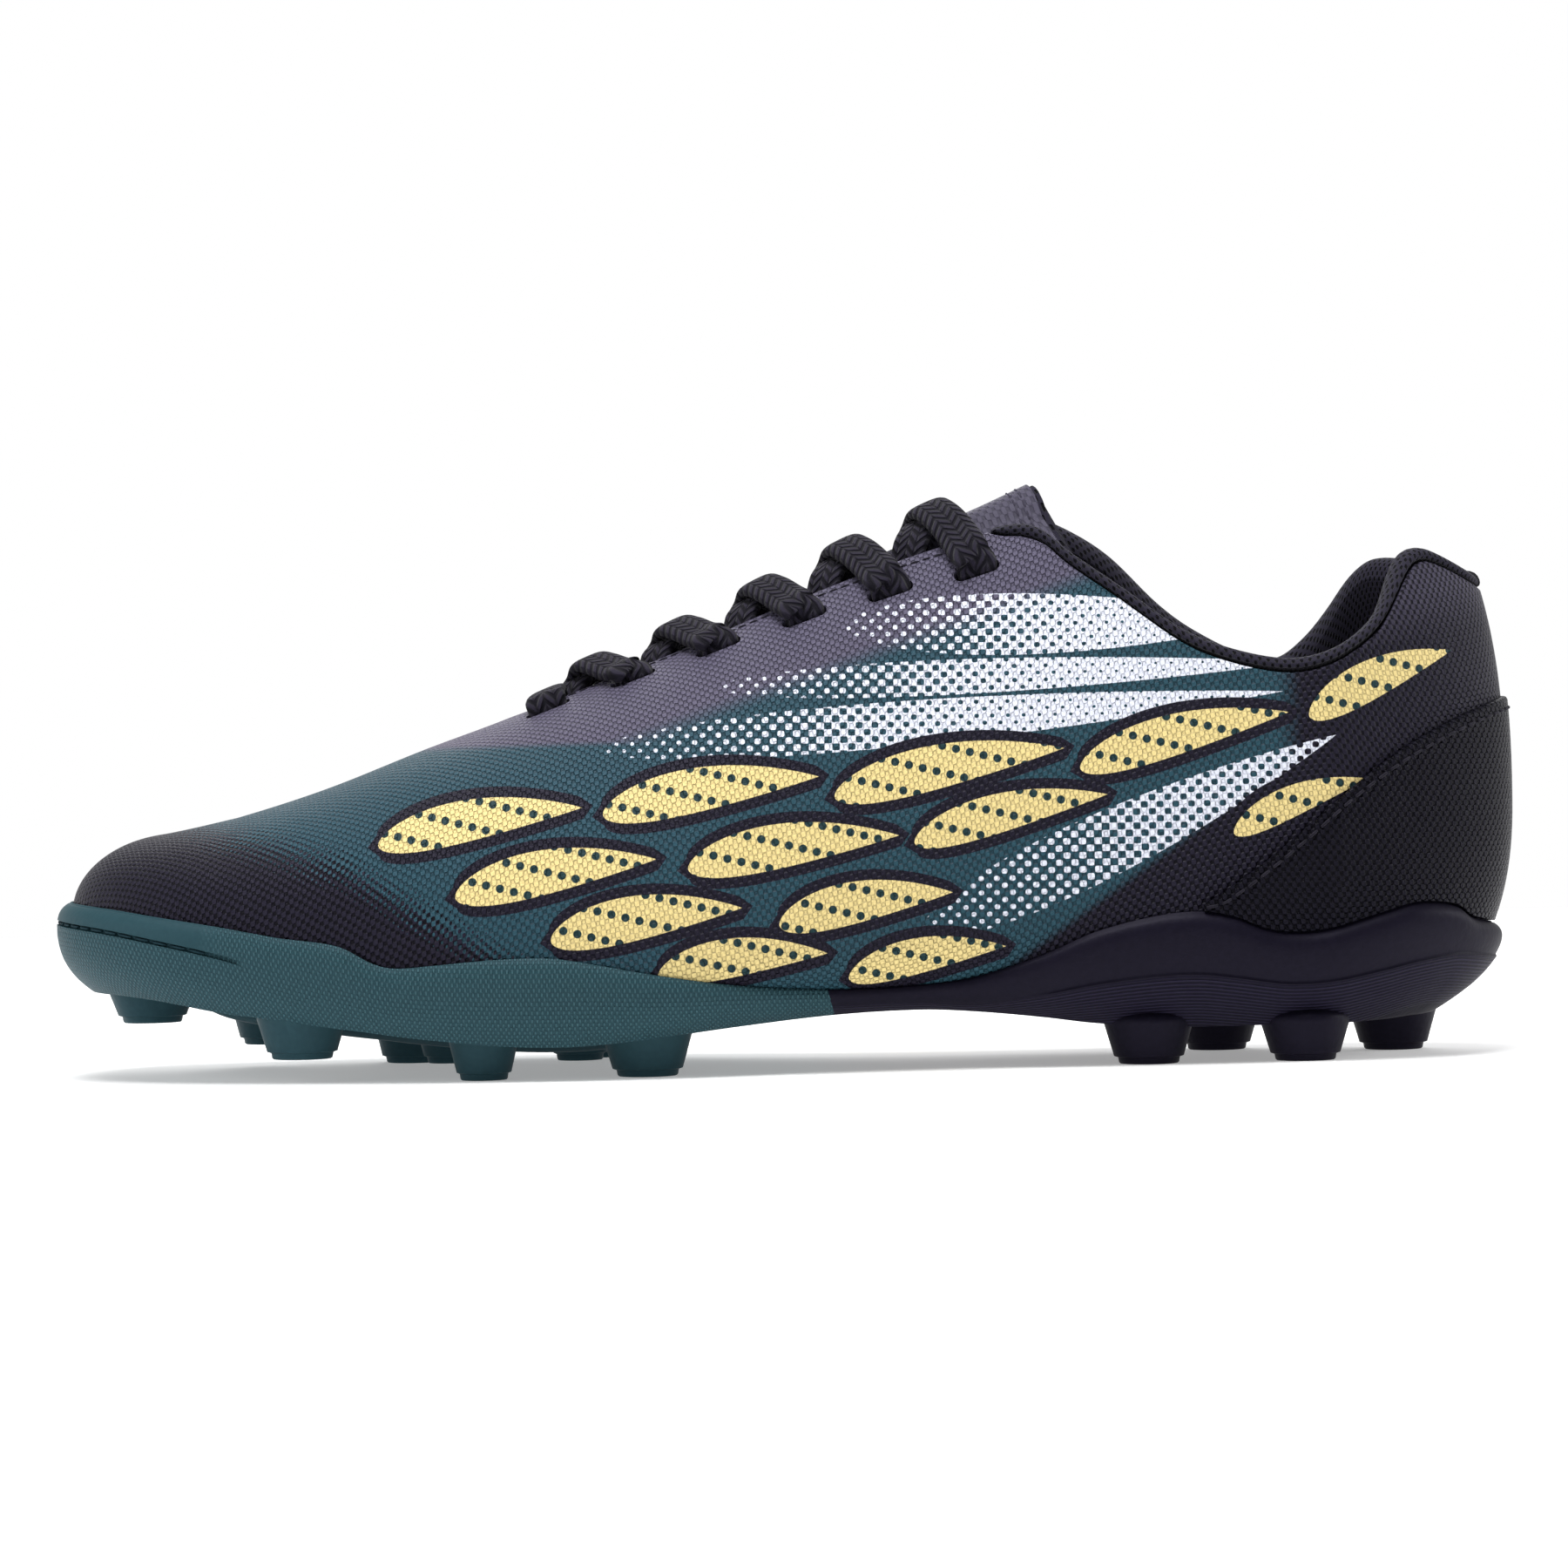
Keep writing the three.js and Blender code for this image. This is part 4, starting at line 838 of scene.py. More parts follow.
def printed_synthetic():
    """The finish of the upper: its grain and its print."""
    made, tree, shader = new_finish("printed_synthetic", roughness=0.45, specular=0.14)
    pattern = pattern_of(tree)
    x, _, z = axes(tree, place_of(tree))
    side_view = add(tree, "ShaderNodeCombineXYZ", {0: x, 1: z}).outputs[0]

    def above_line(line_x, line_z, slope, soft):
        """1 above a sloping line through a point of the side, 0 under it, fading over soft mm."""
        line = times(tree, minus(tree, x, line_x * mm), slope)
        over = minus(tree, minus(tree, z, line_z * mm), line)
        return ramp(tree, over, -soft / 2 * mm, soft / 2 * mm)

    def leaf_on(start_x, start_z, end_x, end_z, width, bend=0.0):
        """A leaf of the print between two points of the side."""
        turn = math.atan2(end_z - start_z, end_x - start_x)
        start = (start_x * mm, start_z * mm, 0)
        inputs = {"Vector": side_view, "Location": start, "Rotation": (0, 0, turn)}
        laid = add(tree, "ShaderNodeMapping", inputs, vector_type="TEXTURE").outputs[0]
        length = math.hypot(end_x - start_x, end_z - start_z) * mm
        sizes = {"Length": length, "Width": width * mm, "Bend": bend * mm}
        return placed(tree, leaf, {"Vector": laid, **sizes})

    # The plain fields: charcoal over two lines at the throat, black behind a rising line, and a painted
    # sheen that makes the top of the heel lighter, towards charcoal.
    eyestay = calc(tree, "MINIMUM", above_line(-61, 63.4, 0.01, 1.6), above_line(-26, 65, 0.34, 5))
    colour = mix(tree, eyestay, teal_ink, charcoal_ink)
    behind_line = minus(tree, 1.0, above_line(46, 22, 0.7, 3))
    rear = calc(tree, "MAXIMUM", behind_line, ramp(tree, x, 0.094, 0.1))
    colour = mix(tree, rear, colour, black_ink)
    # A painted sheen: the top of the heel is made lighter, towards charcoal.
    painted_heel_sheen = times(tree, above_line(98, 78, 0.28, 14), ramp(tree, x, 0.09, 0.1, 0, 0.4))
    colour = mix(tree, painted_heel_sheen, colour, charcoal_ink)

    # The toe fades from black to teal by dots, under a bent line that falls towards the foot.
    over_toe = calc(tree, "MAXIMUM", above_line(-111, 48.7, -0.29, 22), above_line(-67.5, 31, -0.6, 22))
    tone = ramp(tree, over_toe, 0.0, 1.0, 1.1, -0.1)
    toe_dots = {"Vector": pattern, "Pitch": 0.00167, "Rows": 0.0021, "Tone": tone}
    toe_ink = placed(tree, halftone, toe_dots)["Ink"]
    colour = mix(tree, toe_ink, colour, black_ink)

    pale = 0.0
    for *streak, faint, strong in streaks:
        laid = leaf_on(*streak)
        tone = ramp(tree, laid["Along"], -0.1, 0.75, faint, strong)
        dots = placed(tree, halftone, {"Vector": side_view, "Tone": tone})["Ink"]
        within = ramp(tree, laid["Inside"], -print_edge, print_edge)
        dots = times(tree, dots, within)
        colour = mix(tree, dots, colour, lilac_ink)
        pale = calc(tree, "MAXIMUM", pale, dots)

    nearest = -1.0
    for ends_and_width in leaves:
        nearest = calc(tree, "MAXIMUM", nearest, leaf_on(*ends_and_width, bend=leaf_bend)["Inside"])
    border = ramp(tree, nearest, -outline_width - print_edge, -outline_width + print_edge)
    colour = mix(tree, border, colour, black_ink)
    inputs = {"Vector": side_view, "Rotation": (0, 0, math.radians(dot_lean))}
    leaning = add(tree, "ShaderNodeMapping", inputs, vector_type="TEXTURE").outputs[0]
    dotted = mix(tree, placed(tree, dot_rows, {"Vector": leaning})["Ink"], yellow_ink, green_ink)
    on_leaf = ramp(tree, nearest, -print_edge, print_edge)
    colour = mix(tree, on_leaf, colour, dotted)
    pale = calc(tree, "MAXIMUM", pale, on_leaf)

    # Painted shade and light on the grain: its pits are darkened, most so in the black, and least where
    # pale ink fills them, and the tops of its lozenges are made lighter than the ink.
    height = placed(tree, grain, {"Vector": pattern})["Height"]
    pits = ramp(tree, calc(tree, "MAXIMUM", rear, toe_ink), 0.0, 1.0, 0.68, 0.15)
    pits = calc(tree, "MAXIMUM", pits, ramp(tree, pale, 0.0, 1.0, 0.0, 0.93))
    # Painted shade in the pits and painted light on the lozenges' tops, by the grain's height.
    painted_pit_shade = ramp(tree, height, 0.0, 1.0, pits, ramp(tree, pits, 0.2, 0.9, 1.2, 1.03))
    lit = add(tree, "ShaderNodeVectorMath", {0: colour, "Scale": painted_pit_shade}, operation="SCALE").outputs[0]
    tree.links.new(lit, shader["Base Color"])
    bumped(tree, shader, height, grain_depth)
    return made


def two_tone(name, low, high, height_of, depth, roughness, specular=0.08, sheen=0.0):
    """A finish coloured and raised by one height: low in its pits and high on its ridges. Over a relief
    this is painted shade in the pits and painted light on the ridges, and over a fuzz an uneven tone.
    """
    made, tree, shader = new_finish(name, roughness, specular)
    shader["Sheen Weight"].default_value = sheen
    height = height_of(tree)
    # Painted shade and light: the colour follows the height, dark in the pits and light on the ridges
    # of a relief.
    tree.links.new(mix(tree, height, paint(*low), paint(*high)), shader["Base Color"])
    bumped(tree, shader, height, depth)
    return made


def fine_fuzz(tree):
    """An even fuzz, for brushed cloth and thread."""
    noise = {"Vector": place_of(tree), "Scale": 900.0, "Detail": 4.0}
    return add(tree, "ShaderNodeTexNoise", noise).outputs[0]


# The upper is backed with a dark brushed cloth, which also shows at its cut edges.
upper.data.materials.append(printed_synthetic())
backing = two_tone("backing_cloth", (12, 12, 15), (48, 47, 54), fine_fuzz, 0.0003, 0.9)
upper.data.materials.append(backing)
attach(upper, "root")
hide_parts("upper")


# The heel counter: a panel of the same synthetic, 1 mm thick, laid over the back of the upper
# and stitched along its upper edge. Its foot is gripped by the sole.
counter_start = 0.775
counter_thickness = 1.0
counter_top = table(
    "at top",
    (
        (0.775, 0.4),
        (0.793, 0.44),
        (0.823, 0.52),
        (0.853, 0.61),
        (0.883, 0.705),
        (0.915, 0.79),
        (0.95, 0.86),
        (0.98, 0.905),
        (1.0, 0.93),
    ),
)


def bar(name, curves, patterns=None):
    """A bar along curves, one for each corner of its closed section, its two ends filled in.

    patterns: the pattern coordinates of the curves' points."""
    points = np.swapaxes(curves, 0, 1)
    total, count = points.shape[:2]
    ends = [tuple(range(count)), tuple(range((total - 1) * count, total * count))]
    faces = ring_faces(total, count) + ends
    if patterns is not None:
        flat = np.swapaxes(patterns, 0, 1).reshape(-1, 2)
        patterns = np.concatenate([flat[list(f)] for f in faces])
    return mesh_from(name, points.reshape(-1, 3), faces, patterns)


counter_index = np.flatnonzero(rays.at >= counter_start)
behind_rays = rays.picked(counter_index)
foot = behind_rays.edge + fit_gap
head = np.maximum(along(counter_top, "top", behind_rays.at) * collar_height, foot + 0.6)


def counter_point(share, inset):
    """A point of the counter: share 0 is at the sole, 1 at its upper edge."""
    z = foot + (head - foot) * share
    return behind_rays.place(behind_rays.reach_at(z, inset), z)


# Its section: up the outside, over the rounded edge and down the inside.
counter_rows = [(share, -fit_gap - counter_thickness) for share in np.linspace(0, 0.985, 22)]
counter_rows += [(0.996, -fit_gap - 0.75), (1, -fit_gap - 0.35)]
counter_rows += [(share, -fit_gap / 2) for share in (1, 0.75, 0.5, 0.25, 0)]
counter_curves = np.array([counter_point(share, inset) for share, inset in counter_rows])
counter_up = counter_curves[..., 2]
counter_way = way_round[counter_index] + 0 * counter_up
counter = bar("heel_counter", counter_curves, np.stack([counter_way, counter_up], -1))


def grained(tree):
    """The embossed grain on a piece's own pattern."""
    return placed(tree, grain, {"Vector": pattern_of(tree)})["Height"]


black_synthetic = two_tone("black_synthetic", (2, 2, 4), (21, 20, 29), grained, 0.0007, 0.38)
counter.data.materials.append(black_synthetic)
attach(counter, "root")
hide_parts("heel_counter")


def stitched(name, path, outward, finish, pitch=3.0, length=2.3, radius=0.3):
    """A row of stitches along a path of points, each a short bar of thread sunk at its ends."""
    gone = way_along(path)

    def on_path(values, way):
        return np.stack([np.interp(way, gone, values[:, k]) for k in range(3)], -1)

    stations_along = length * np.array([-0.5, -0.42, -0.2, 0.2, 0.42, 0.5])
    thickness = radius * np.array([0.4, 0.85, 1, 1, 0.85, 0.4])
    height = radius * np.array([-1.2, -0.1, 0.3, 0.3, -0.1, -1.2])
    sides = 6
    points = []
    faces = []
    for k in range(int(gone[-1] / pitch)):
        way = (k + 0.5) * pitch + stations_along
        up = on_path(outward, way)
        centre = on_path(path, way) + up * height[:, None]
        across = np.cross(up, centre[-1] - centre[0])
        across /= np.linalg.norm(across, axis=1, keepdims=True)
        first = len(points)
        for j, thick in enumerate(thickness):
            for turn in np.linspace(0, 2 * math.pi, sides, endpoint=False):
                around = math.cos(turn) * across[j] + math.sin(turn) * up[j]
                points.append(centre[j] + thick * around)
        faces += [tuple(first + corner for corner in f) for f in ring_faces(len(way), sides)]
        faces += [tuple(range(first, first + sides)), tuple(range(len(points) - sides, len(points)))]
    stitches = mesh_from(name, points, faces)
    stitches.data.materials.append(finish)
    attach(stitches, "root")


# The counter is sewn on with black thread, just inside its upper edge.
counter_seam_inset = 2.2
lowest_panel = 4.0
thread_low = (16, 15, 20)
thread_high = (44, 42, 52)
black_thread = two_tone("black_thread", thread_low, thread_high, fine_fuzz, 0.0002, 0.7, sheen=0.06)
seam_share = 1 - counter_seam_inset / np.maximum(head - foot, lowest_panel)
seam_z = foot + (head - foot) * seam_share
seam_path = behind_rays.place(behind_rays.reach_at(seam_z, -fit_gap - counter_thickness), seam_z)
stitched("counter_stitching", seam_path, behind_rays.outward(), black_thread)

# Each eyestay is edged along the throat with one more row of the same thread.
throat_seam_inset = 2.4
seam_at = np.linspace(0.325, 0.64, 90)
seam_out = throat_half(seam_at) + throat_seam_inset
for side, side_name in ((-1, "lateral"), (1, "medial")):
    seam_y = ridge_line(seam_at) + side * seam_out
    path, outward = surface_at(seam_at * upper_length, seam_y)
    stitched(f"throat_stitching_{side_name}", path, outward, black_thread, 2.4, 1.9, 0.22)


# The collar lining: knitted mesh over a foam pad, sewn to the collar's edge from outside and
# rolled over it, then glued down inside the ankle.
lining_depth = 30.0
lining_pad = 5.5
lining_roll = 2.8
lining_taper = 0.06
lining_lead = 0.014
lining_start = collar_start - 0.009
collar_index = np.flatnonzero(rays.at >= lining_start)
collar_rays = rays.picked(collar_index)


def pad_at(at):
    """The pad's thickness, which tapers towards the tongue."""
    return lining_pad * (0.22 + 0.78 * np.clip((at - collar_start) / lining_taper, 0, 1))


pad = pad_at(collar_rays.at)
roll = lining_roll * (0.5 + 0.5 * np.clip(2 * pad / lining_pad, 0, 1))
roll *= np.clip((collar_rays.at - lining_start) / lining_lead, 0.02, 1) ** 0.5
collar_top = collar_rays.upper_point(1.0)[:, 2]
lining_clearance = 1.4 * fit_gap
behind = wall + lining_clearance


def lining_point(inset, down, up=0.0):
    """A point of the lining: inset from the last, down from the collar's edge, raised by up."""
    z = collar_top - down
    out = collar_rays.reach_at(np.minimum(z, collar_rays.crest - inset - 1), inset)
    return collar_rays.place(out, z + up)


# Its section: up behind the upper's edge, over the roll and down the padded side.
lining_curves = [
    *[lining_point(behind, lining_depth * share) for share in (1, 0.75, 0.5, 0.25, 0.08)],
    lining_point(behind, 0, lining_clearance),
    lining_point(fit_gap, 0, lining_clearance),
    lining_point(fit_gap - 0.1, 0, roll * 0.62),
    lining_point(wall * 0.6, 0, roll),
    lining_point(behind + pad * 0.3, 0, roll * 1.05),
    lining_point(behind + pad * 0.7, 0, roll * 0.6),
    lining_point(behind + pad * 0.98, 0, -roll * 0.4),
    lining_point(behind + pad * 1.05, lining_depth / 5),
    lining_point(behind + pad * 0.95, lining_depth / 2),
    lining_point(behind + pad * 0.6, lining_depth * 0.8),
    lining_point(behind + pad * 0.25 + 0.4, lining_depth),
]
section_way = way_along(lining_curves)
collar_way = way_round[collar_index] + 0 * section_way
lining = bar("collar_lining", lining_curves, np.stack([collar_way, section_way], -1))


def rounded_off(piece):
    """Round a piece by one subdivision of its surface."""
    rounding = piece.modifiers.new("rounding", "SUBSURF")
    rounding.levels = 1
    rounding.render_levels = 1
    select_only(piece)
    bpy.ops.object.modifier_apply(modifier=rounding.name)


rounded_off(lining)

# Knitted spacer mesh: small holes in staggered rows.
mesh_holes, given, ready = effect("mesh_holes", ["Height"], Pitch=0.0016, Rows=0.0023)
holes = lattice(mesh_holes, given["Vector"], given["Pitch"], given["Rows"])
mesh_holes.links.new(ramp(mesh_holes, holes, 0.1, 0.6, 1.0, 0.0), ready["Height"])
binding_end = (lining_depth + 2.9) * mm
binding_edge = 0.0003
binding_rib = 0.0009
mesh_low = (2, 2, 4)
mesh_high = (40, 38, 50)


def knitted(tree):
    """The mesh on a piece's own pattern."""
    return placed(tree, mesh_holes, {"Vector": pattern_of(tree)})["Height"]


def lining_mesh(tree):
    """Mesh, with a plain ribbed binding along the outer edge."""
    way, down, _ = axes(tree, pattern_of(tree))
    binding = ramp(tree, wave(tree, way, binding_rib), -1.0, 1.0, 0.1, 0.3)
    inside = ramp(tree, down, binding_end - binding_edge, binding_end + binding_edge)
    raised = minus(tree, knitted(tree), binding)
    return plus(tree, binding, times(tree, inside, raised))


black_mesh = two_tone("black_mesh", mesh_low, mesh_high, lining_mesh, 0.0006, 0.8, sheen=0.06)
lining.data.materials.append(black_mesh)
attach(lining, "root")
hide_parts("collar_lining")


# The pull tab: a short band of black webbing sewn over the collar's edge at the middle of the
# heel.
tab_half = 6.0
tape_rib = 0.0011
tab_index = np.abs(collar_rays.ey * collar_rays.reach) < tab_half
tab_rays = collar_rays.picked(tab_index & (collar_rays.at > 0.9))
tab_top = tab_rays.upper_point(1.0)[:, 2]
# Its section, as insets from the last and heights over the collar's edge.
tab_inner = ((0.9, 0.6), (0.95, 1.1), (1.3, 2.1), (2.4, 2.7), (5.0, 2.4), (7.4, 0.0), (8.1, -5.0))
tab_outer = ((9.2, -5.4), (8.7, 0.5), (5.9, 3.5), (2.8, 4.0), (0.8, 3.5), (-0.1, 2.0), (-0.1, 0.7))


def tab_point(inset, up):
    """A point of the tab: inset from the last, and up from the collar's edge."""
    z = tab_top + up
    out = tab_rays.reach_at(np.minimum(z, tab_top), 0.0) - inset
    return tab_rays.place(out, z)


tab = bar("pull_tab", [tab_point(*corner) for corner in (*tab_inner, *tab_outer)])
rounded_off(tab)


def webbing(tree):
    """Ribs of woven tape, across its length."""
    return ramp(tree, wave(tree, axes(tree, place_of(tree))[1], tape_rib), -1.0, 1.0)


black_tape = two_tone("black_webbing", (9, 9, 12), (34, 32, 41), webbing, 0.0003, 0.75, sheen=0.06)
tab.data.materials.append(black_tape)
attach(tab, "root")


# The tongue: a padded strap of mesh under the throat, sewn in at its foot, that stands out
# above the laces.
tongue_thickness = 3.6
tongue_half_width = 20.0
tongue_end_skew = 15.0
tongue_start = 0.318
tongue_end = 0.675
tongue_side_inset = wall + 3 * fit_gap
tongue_top_inset = 1.0
tongue_skin = (tongue_end - tongue_start) * upper_length * 1.12


def tongue_point(share, across, depth):
    """A point of the tongue: share 0 is its foot, 1 its end; across -1 and 1 its edges."""
    side = np.where(across < 0, -1.0, 1.0)
    spread = np.abs(across)
    skew = tongue_end_skew * share**4 * spread**1.5 / upper_length
    at = tongue_start + (tongue_end - tongue_start) * share + skew
    beside = side_rays(side, at)
    out = spread * tongue_half_width * (0.55 + 0.45 * np.minimum(share * 2, 1))
    under_pad = np.clip((at - collar_start) / lining_taper + 1, 0, 1)
    clear = under_pad * (pad_at(at) + 3 * fit_gap) * np.minimum(spread * 2, 1)
    outside = tongue_side_inset + clear
    crown_half = np.maximum(beside.open - 3.5 - 2.5 * under_pad, 3)
    crown = np.clip(1 - (out / crown_half) ** 2, 0, 1)
    inset = outside - (outside - tongue_top_inset * (1 - share**6)) * crown
    return beside.place(out, beside.height_at(out, inset + depth))


def tongue_slab(name, shares, half_spread, raised, sunk):
    """A slab along the tongue, from raised above the tongue's face to sunk below it."""
    spreads = np.linspace(-half_spread, half_spread, 33)
    across = np.concatenate([spreads, spreads[::-1]]) * tongue_half_width
    sections = []
    patterns = []
    for share in shares:
        face = tongue_point(share, spreads, -raised)
        back = tongue_point(share, spreads[::-1], sunk)
        sections.append(np.concatenate([face, back]))
        patterns.append(np.stack([share * tongue_skin + 0 * across, across], -1))
    return bar(name, np.swapaxes(sections, 0, 1), np.swapaxes(patterns, 0, 1))


tongue = tongue_slab("tongue", np.linspace(0, 1, 60), 1.0, 0.0, tongue_thickness)
tongue_cloth = two_tone("tongue_mesh", mesh_low, mesh_high, knitted, 0.0006, 0.8, sheen=0.06)
tongue.data.materials.append(tongue_cloth)
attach(tongue, "root")
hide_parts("tongue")

# A patch of charcoal synthetic is sewn over the tongue's end, with two rows of stitches.
patch_start = 0.78
patch_end = 0.988
patch_spread = 0.9
patch_thickness = 0.8
patch_sunk = 0.6
patch_shares = np.linspace(patch_start, patch_end, 16)
patch = tongue_slab("tongue_patch", patch_shares, patch_spread, patch_thickness, patch_sunk)
charcoal_synthetic = two_tone("charcoal_synthetic", (60, 58, 70), (76, 73, 88), grained, 0.0001, 0.45)
patch.data.materials.append(charcoal_synthetic)
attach(patch, "root")
charcoal_thread = two_tone("charcoal_thread", (44, 42, 52), (78, 75, 90), fine_fuzz, 0.0002, 0.7)
for row, edge_gap in enumerate((0.022, 0.038)):
    seam_end = patch_end - edge_gap
    spread = patch_spread - edge_gap * 4
    seam_shares = np.linspace(patch_start, seam_end, 12)
    seam_parts = [
        [tongue_point(share, -spread, -patch_thickness) for share in seam_shares],
        tongue_point(seam_end, np.linspace(-spread, spread, 31)[1:-1], -patch_thickness),
        [tongue_point(share, spread, -patch_thickness) for share in seam_shares[::-1]],
    ]
    path = np.concatenate(seam_parts)
    off_patch = np.tile((-0.35, 0.0, 0.94), (len(path), 1))
    stitched(f"patch_stitching_{row + 1}", path, off_patch, charcoal_thread, 2.6, 2.0, 0.2)


# The insole: a foam board under a cloth face, laid on the floor of the upper.
insole_thickness = 3.0
insole_weave = 0.0012
insole_rim = 0.8
insole_inset = wall + 0.8
floor_z = rays.footbed + 2 * fit_gap
insole_out = rays.reach_at(floor_z, insole_inset)
insole_rings = np.array(
    [
        rays.place(insole_out - insole_rim, floor_z),
        rays.place(insole_out, floor_z + insole_rim),
        rays.place(insole_out, floor_z + insole_thickness + insole_rim * 0.7),
        rays.place(insole_out - 0.5, floor_z + insole_thickness + insole_rim),
        rays.place(insole_out - 1.6, floor_z + insole_thickness + insole_rim * 0.6),
        rays.place(insole_out - 3 * insole_rim, floor_z + insole_thickness),
    ]
)


def lid_faces(first):
    """Quads across a ring, between each lateral ray and the medial one beside it.

    The first and the last have three corners."""
    faces = []
    for i in range(heel_index):
        a = first + i
        b = first + (ray_count - i) % ray_count
        c = first + i + 1
        d = first + (ray_count - i - 1) % ray_count
        faces.append(tuple(dict.fromkeys((a, c, d, b))))
    return faces


insole_faces = ring_faces(len(insole_rings), ray_count)
insole_faces += lid_faces(0) + lid_faces((len(insole_rings) - 1) * ray_count)
insole = mesh_from("insole", insole_rings.reshape(-1, 3), insole_faces)


def insole_cloth(tree):
    """A plain weave with a slight nap."""
    threads = lattice(tree, place_of(tree), insole_weave, insole_weave)
    weave = ramp(tree, threads, -1.0, 1.0, 0.0, 0.7)
    return plus(tree, weave, times(tree, fine_fuzz(tree), 0.4))


face_low = (14, 14, 18)
face_high = (46, 44, 54)
face_cloth = two_tone("insole_cloth", face_low, face_high, insole_cloth, 0.00025, 0.9, sheen=0.06)
insole.data.materials.append(face_cloth)
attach(insole, "root")
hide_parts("insole")


# The outsole: one rubber moulding in two colours, a cup that grips the foot of the upper. Its
# top edge is rounded, a stitched groove runs round the toe, and its heel has a raised lower band.
sole_lip = 0.9
lip_round = 1.4
groove_depth = 0.9
groove_half = 0.5
groove_end = 0.129
groove_fade = 0.004
heel_step = 0.5
heel_step_start = 0.645
heel_step_fade = 0.03


def sole_outside(z):
    """How far out the sole's side wall stands at height z."""
    share = np.maximum((z - rays.under) / (rays.edge - rays.under), 0)
    top = rays.reach_at(rays.edge) - rays.reach + rays.proud
    curve = -rays.foot + (top + rays.foot) * (1 - np.maximum(1 - share, 0) ** rays.bulge)
    lip = (rays.proud - sole_lip) * np.exp(-(rays.edge - z) / lip_round)
    return rays.reach + curve - np.minimum(lip, lip * share * 2)


line_half = np.minimum(groove_half, (rays.edge - rays.under) * 0.12)
in_groove = np.clip((groove_end - rays.at) / groove_fade, 0, 1) ** 0.5
step_out = heel_step * np.clip((rays.at - heel_step_start) / heel_step_fade, 0, 1)
cup_rings = []
# The wall under the line, stepped out at the heel.
for share in np.linspace(0, 0.86, 22):
    z = rays.under + (rays.line - line_half - rays.under) * share
    cup_rings.append(rays.place(sole_outside(z) + step_out * min(share * 2, 1), z))
# The line itself: the groove at the toe, the top of the step at the heel.
groove_offsets = (-1, -0.85, -0.7, -0.35, 0, 0.35, 0.7, 0.85, 1)
line_ring = len(cup_rings) + len(groove_offsets) // 2
for offset in groove_offsets:
    z = rays.line + line_half * offset
    hollow = groove_depth * in_groove * (1 - abs(offset) ** 4)
    step_left = step_out * np.clip((0.2 - offset) / 0.9, 0, 1)
    cup_rings.append(rays.place(sole_outside(z) - hollow + step_left, z))
# The wall over the line, the rounded top edge, and the cup's inside down to the footbed.
for share in np.linspace(0.1, 0.96, 16):
    z = rays.line + line_half + (rays.edge - rays.line - line_half) * share
    cup_rings.append(rays.place(sole_outside(z), z))
inner_edge = rays.reach_at(rays.edge) + fit_gap
outer_edge = sole_outside(rays.edge)
for share in (0, 0.25, 0.6, 1):
    z = rays.edge + 0.25 * math.sin(share * math.pi) - 0.1 * (1 - share)
    cup_rings.append(rays.place(outer_edge + (inner_edge - outer_edge) * (0.12 + 0.88 * share), z))
for level in (0.25, 0.2, 0.15, 0.1, 0.05, 0.0):
    z = np.minimum(rays.upper_point(level)[:, 2], rays.edge - 0.3)
    cup_rings.append(rays.place(rays.reach_at(z) + fit_gap, z))
cup_rings.append(rays.place(rays.reach_at(rays.footbed + fit_gap) + fit_gap, rays.footbed))
cup_rings = np.array(cup_rings)
cup_faces = ring_faces(len(cup_rings), ray_count)
cup_faces += lid_faces(0) + lid_faces((len(cup_rings) - 1) * ray_count)

# The pattern of the underside is laid 200 mm below that of the side wall.
underside = -200.0


def sole_pattern(start_way):
    """Distance round the sole, and up its wall from the line on its side, in mm."""
    up_wall = way_along(cup_rings)
    around = way_round + 0 * up_wall
    around[:, 0] = start_way
    return np.stack([around, up_wall - up_wall[line_ring]], -1).reshape(-1, 2)


wall_patterns = {-1: sole_pattern(0.0), 1: sole_pattern(way_total)}
plan_pattern = cup_rings.reshape(-1, 3)[:, :2] + np.array([0, underside])
wall_total = (len(cup_rings) - 1) * ray_count
sole_corners = []
for place, face in enumerate(cup_faces):
    wall_pattern = wall_patterns[-1 if face[0] % ray_count < heel_index else 1]
    sole_corners.append((wall_pattern if place < wall_total else plan_pattern)[list(face)])
cup = mesh_from("sole_cup", cup_rings.reshape(-1, 3), cup_faces, np.concatenate(sole_corners))

# The studs: fourteen short cones moulded with the sole, each with a small step near its tip and
# a flared root, and a low rib that runs between those of the forefoot. A stud's row gives its
# share of the length, its share of half the ball width, its width and its tip's share of the
# heel height.
large_stud = 13.5
small_stud = 10.5
stud_rise = 1.2
stud_tip = 0.86
studs = (
    (0.052, 0.1, large_stud, 0.95),
    (0.168, -0.6, large_stud, 0.4),
    (0.128, 0.58, large_stud, 0.42),
    (0.165, 0.0, small_stud, 0.45),
    (0.292, -0.72, small_stud, 0),
    (0.402, -0.66, large_stud, 0),
    (0.228, 0.7, large_stud, 0),
    (0.362, 0.62, large_stud, 0.05),
    (0.262, -0.04, small_stud, 0.15),
    (0.352, -0.02, small_stud, 0.15),
    (0.743, -0.48, large_stud, 0),
    (0.85, -0.46, large_stud, 0),
    (0.803, 0.46, large_stud, 0),
    (0.924, 0.22, large_stud, 0),
)


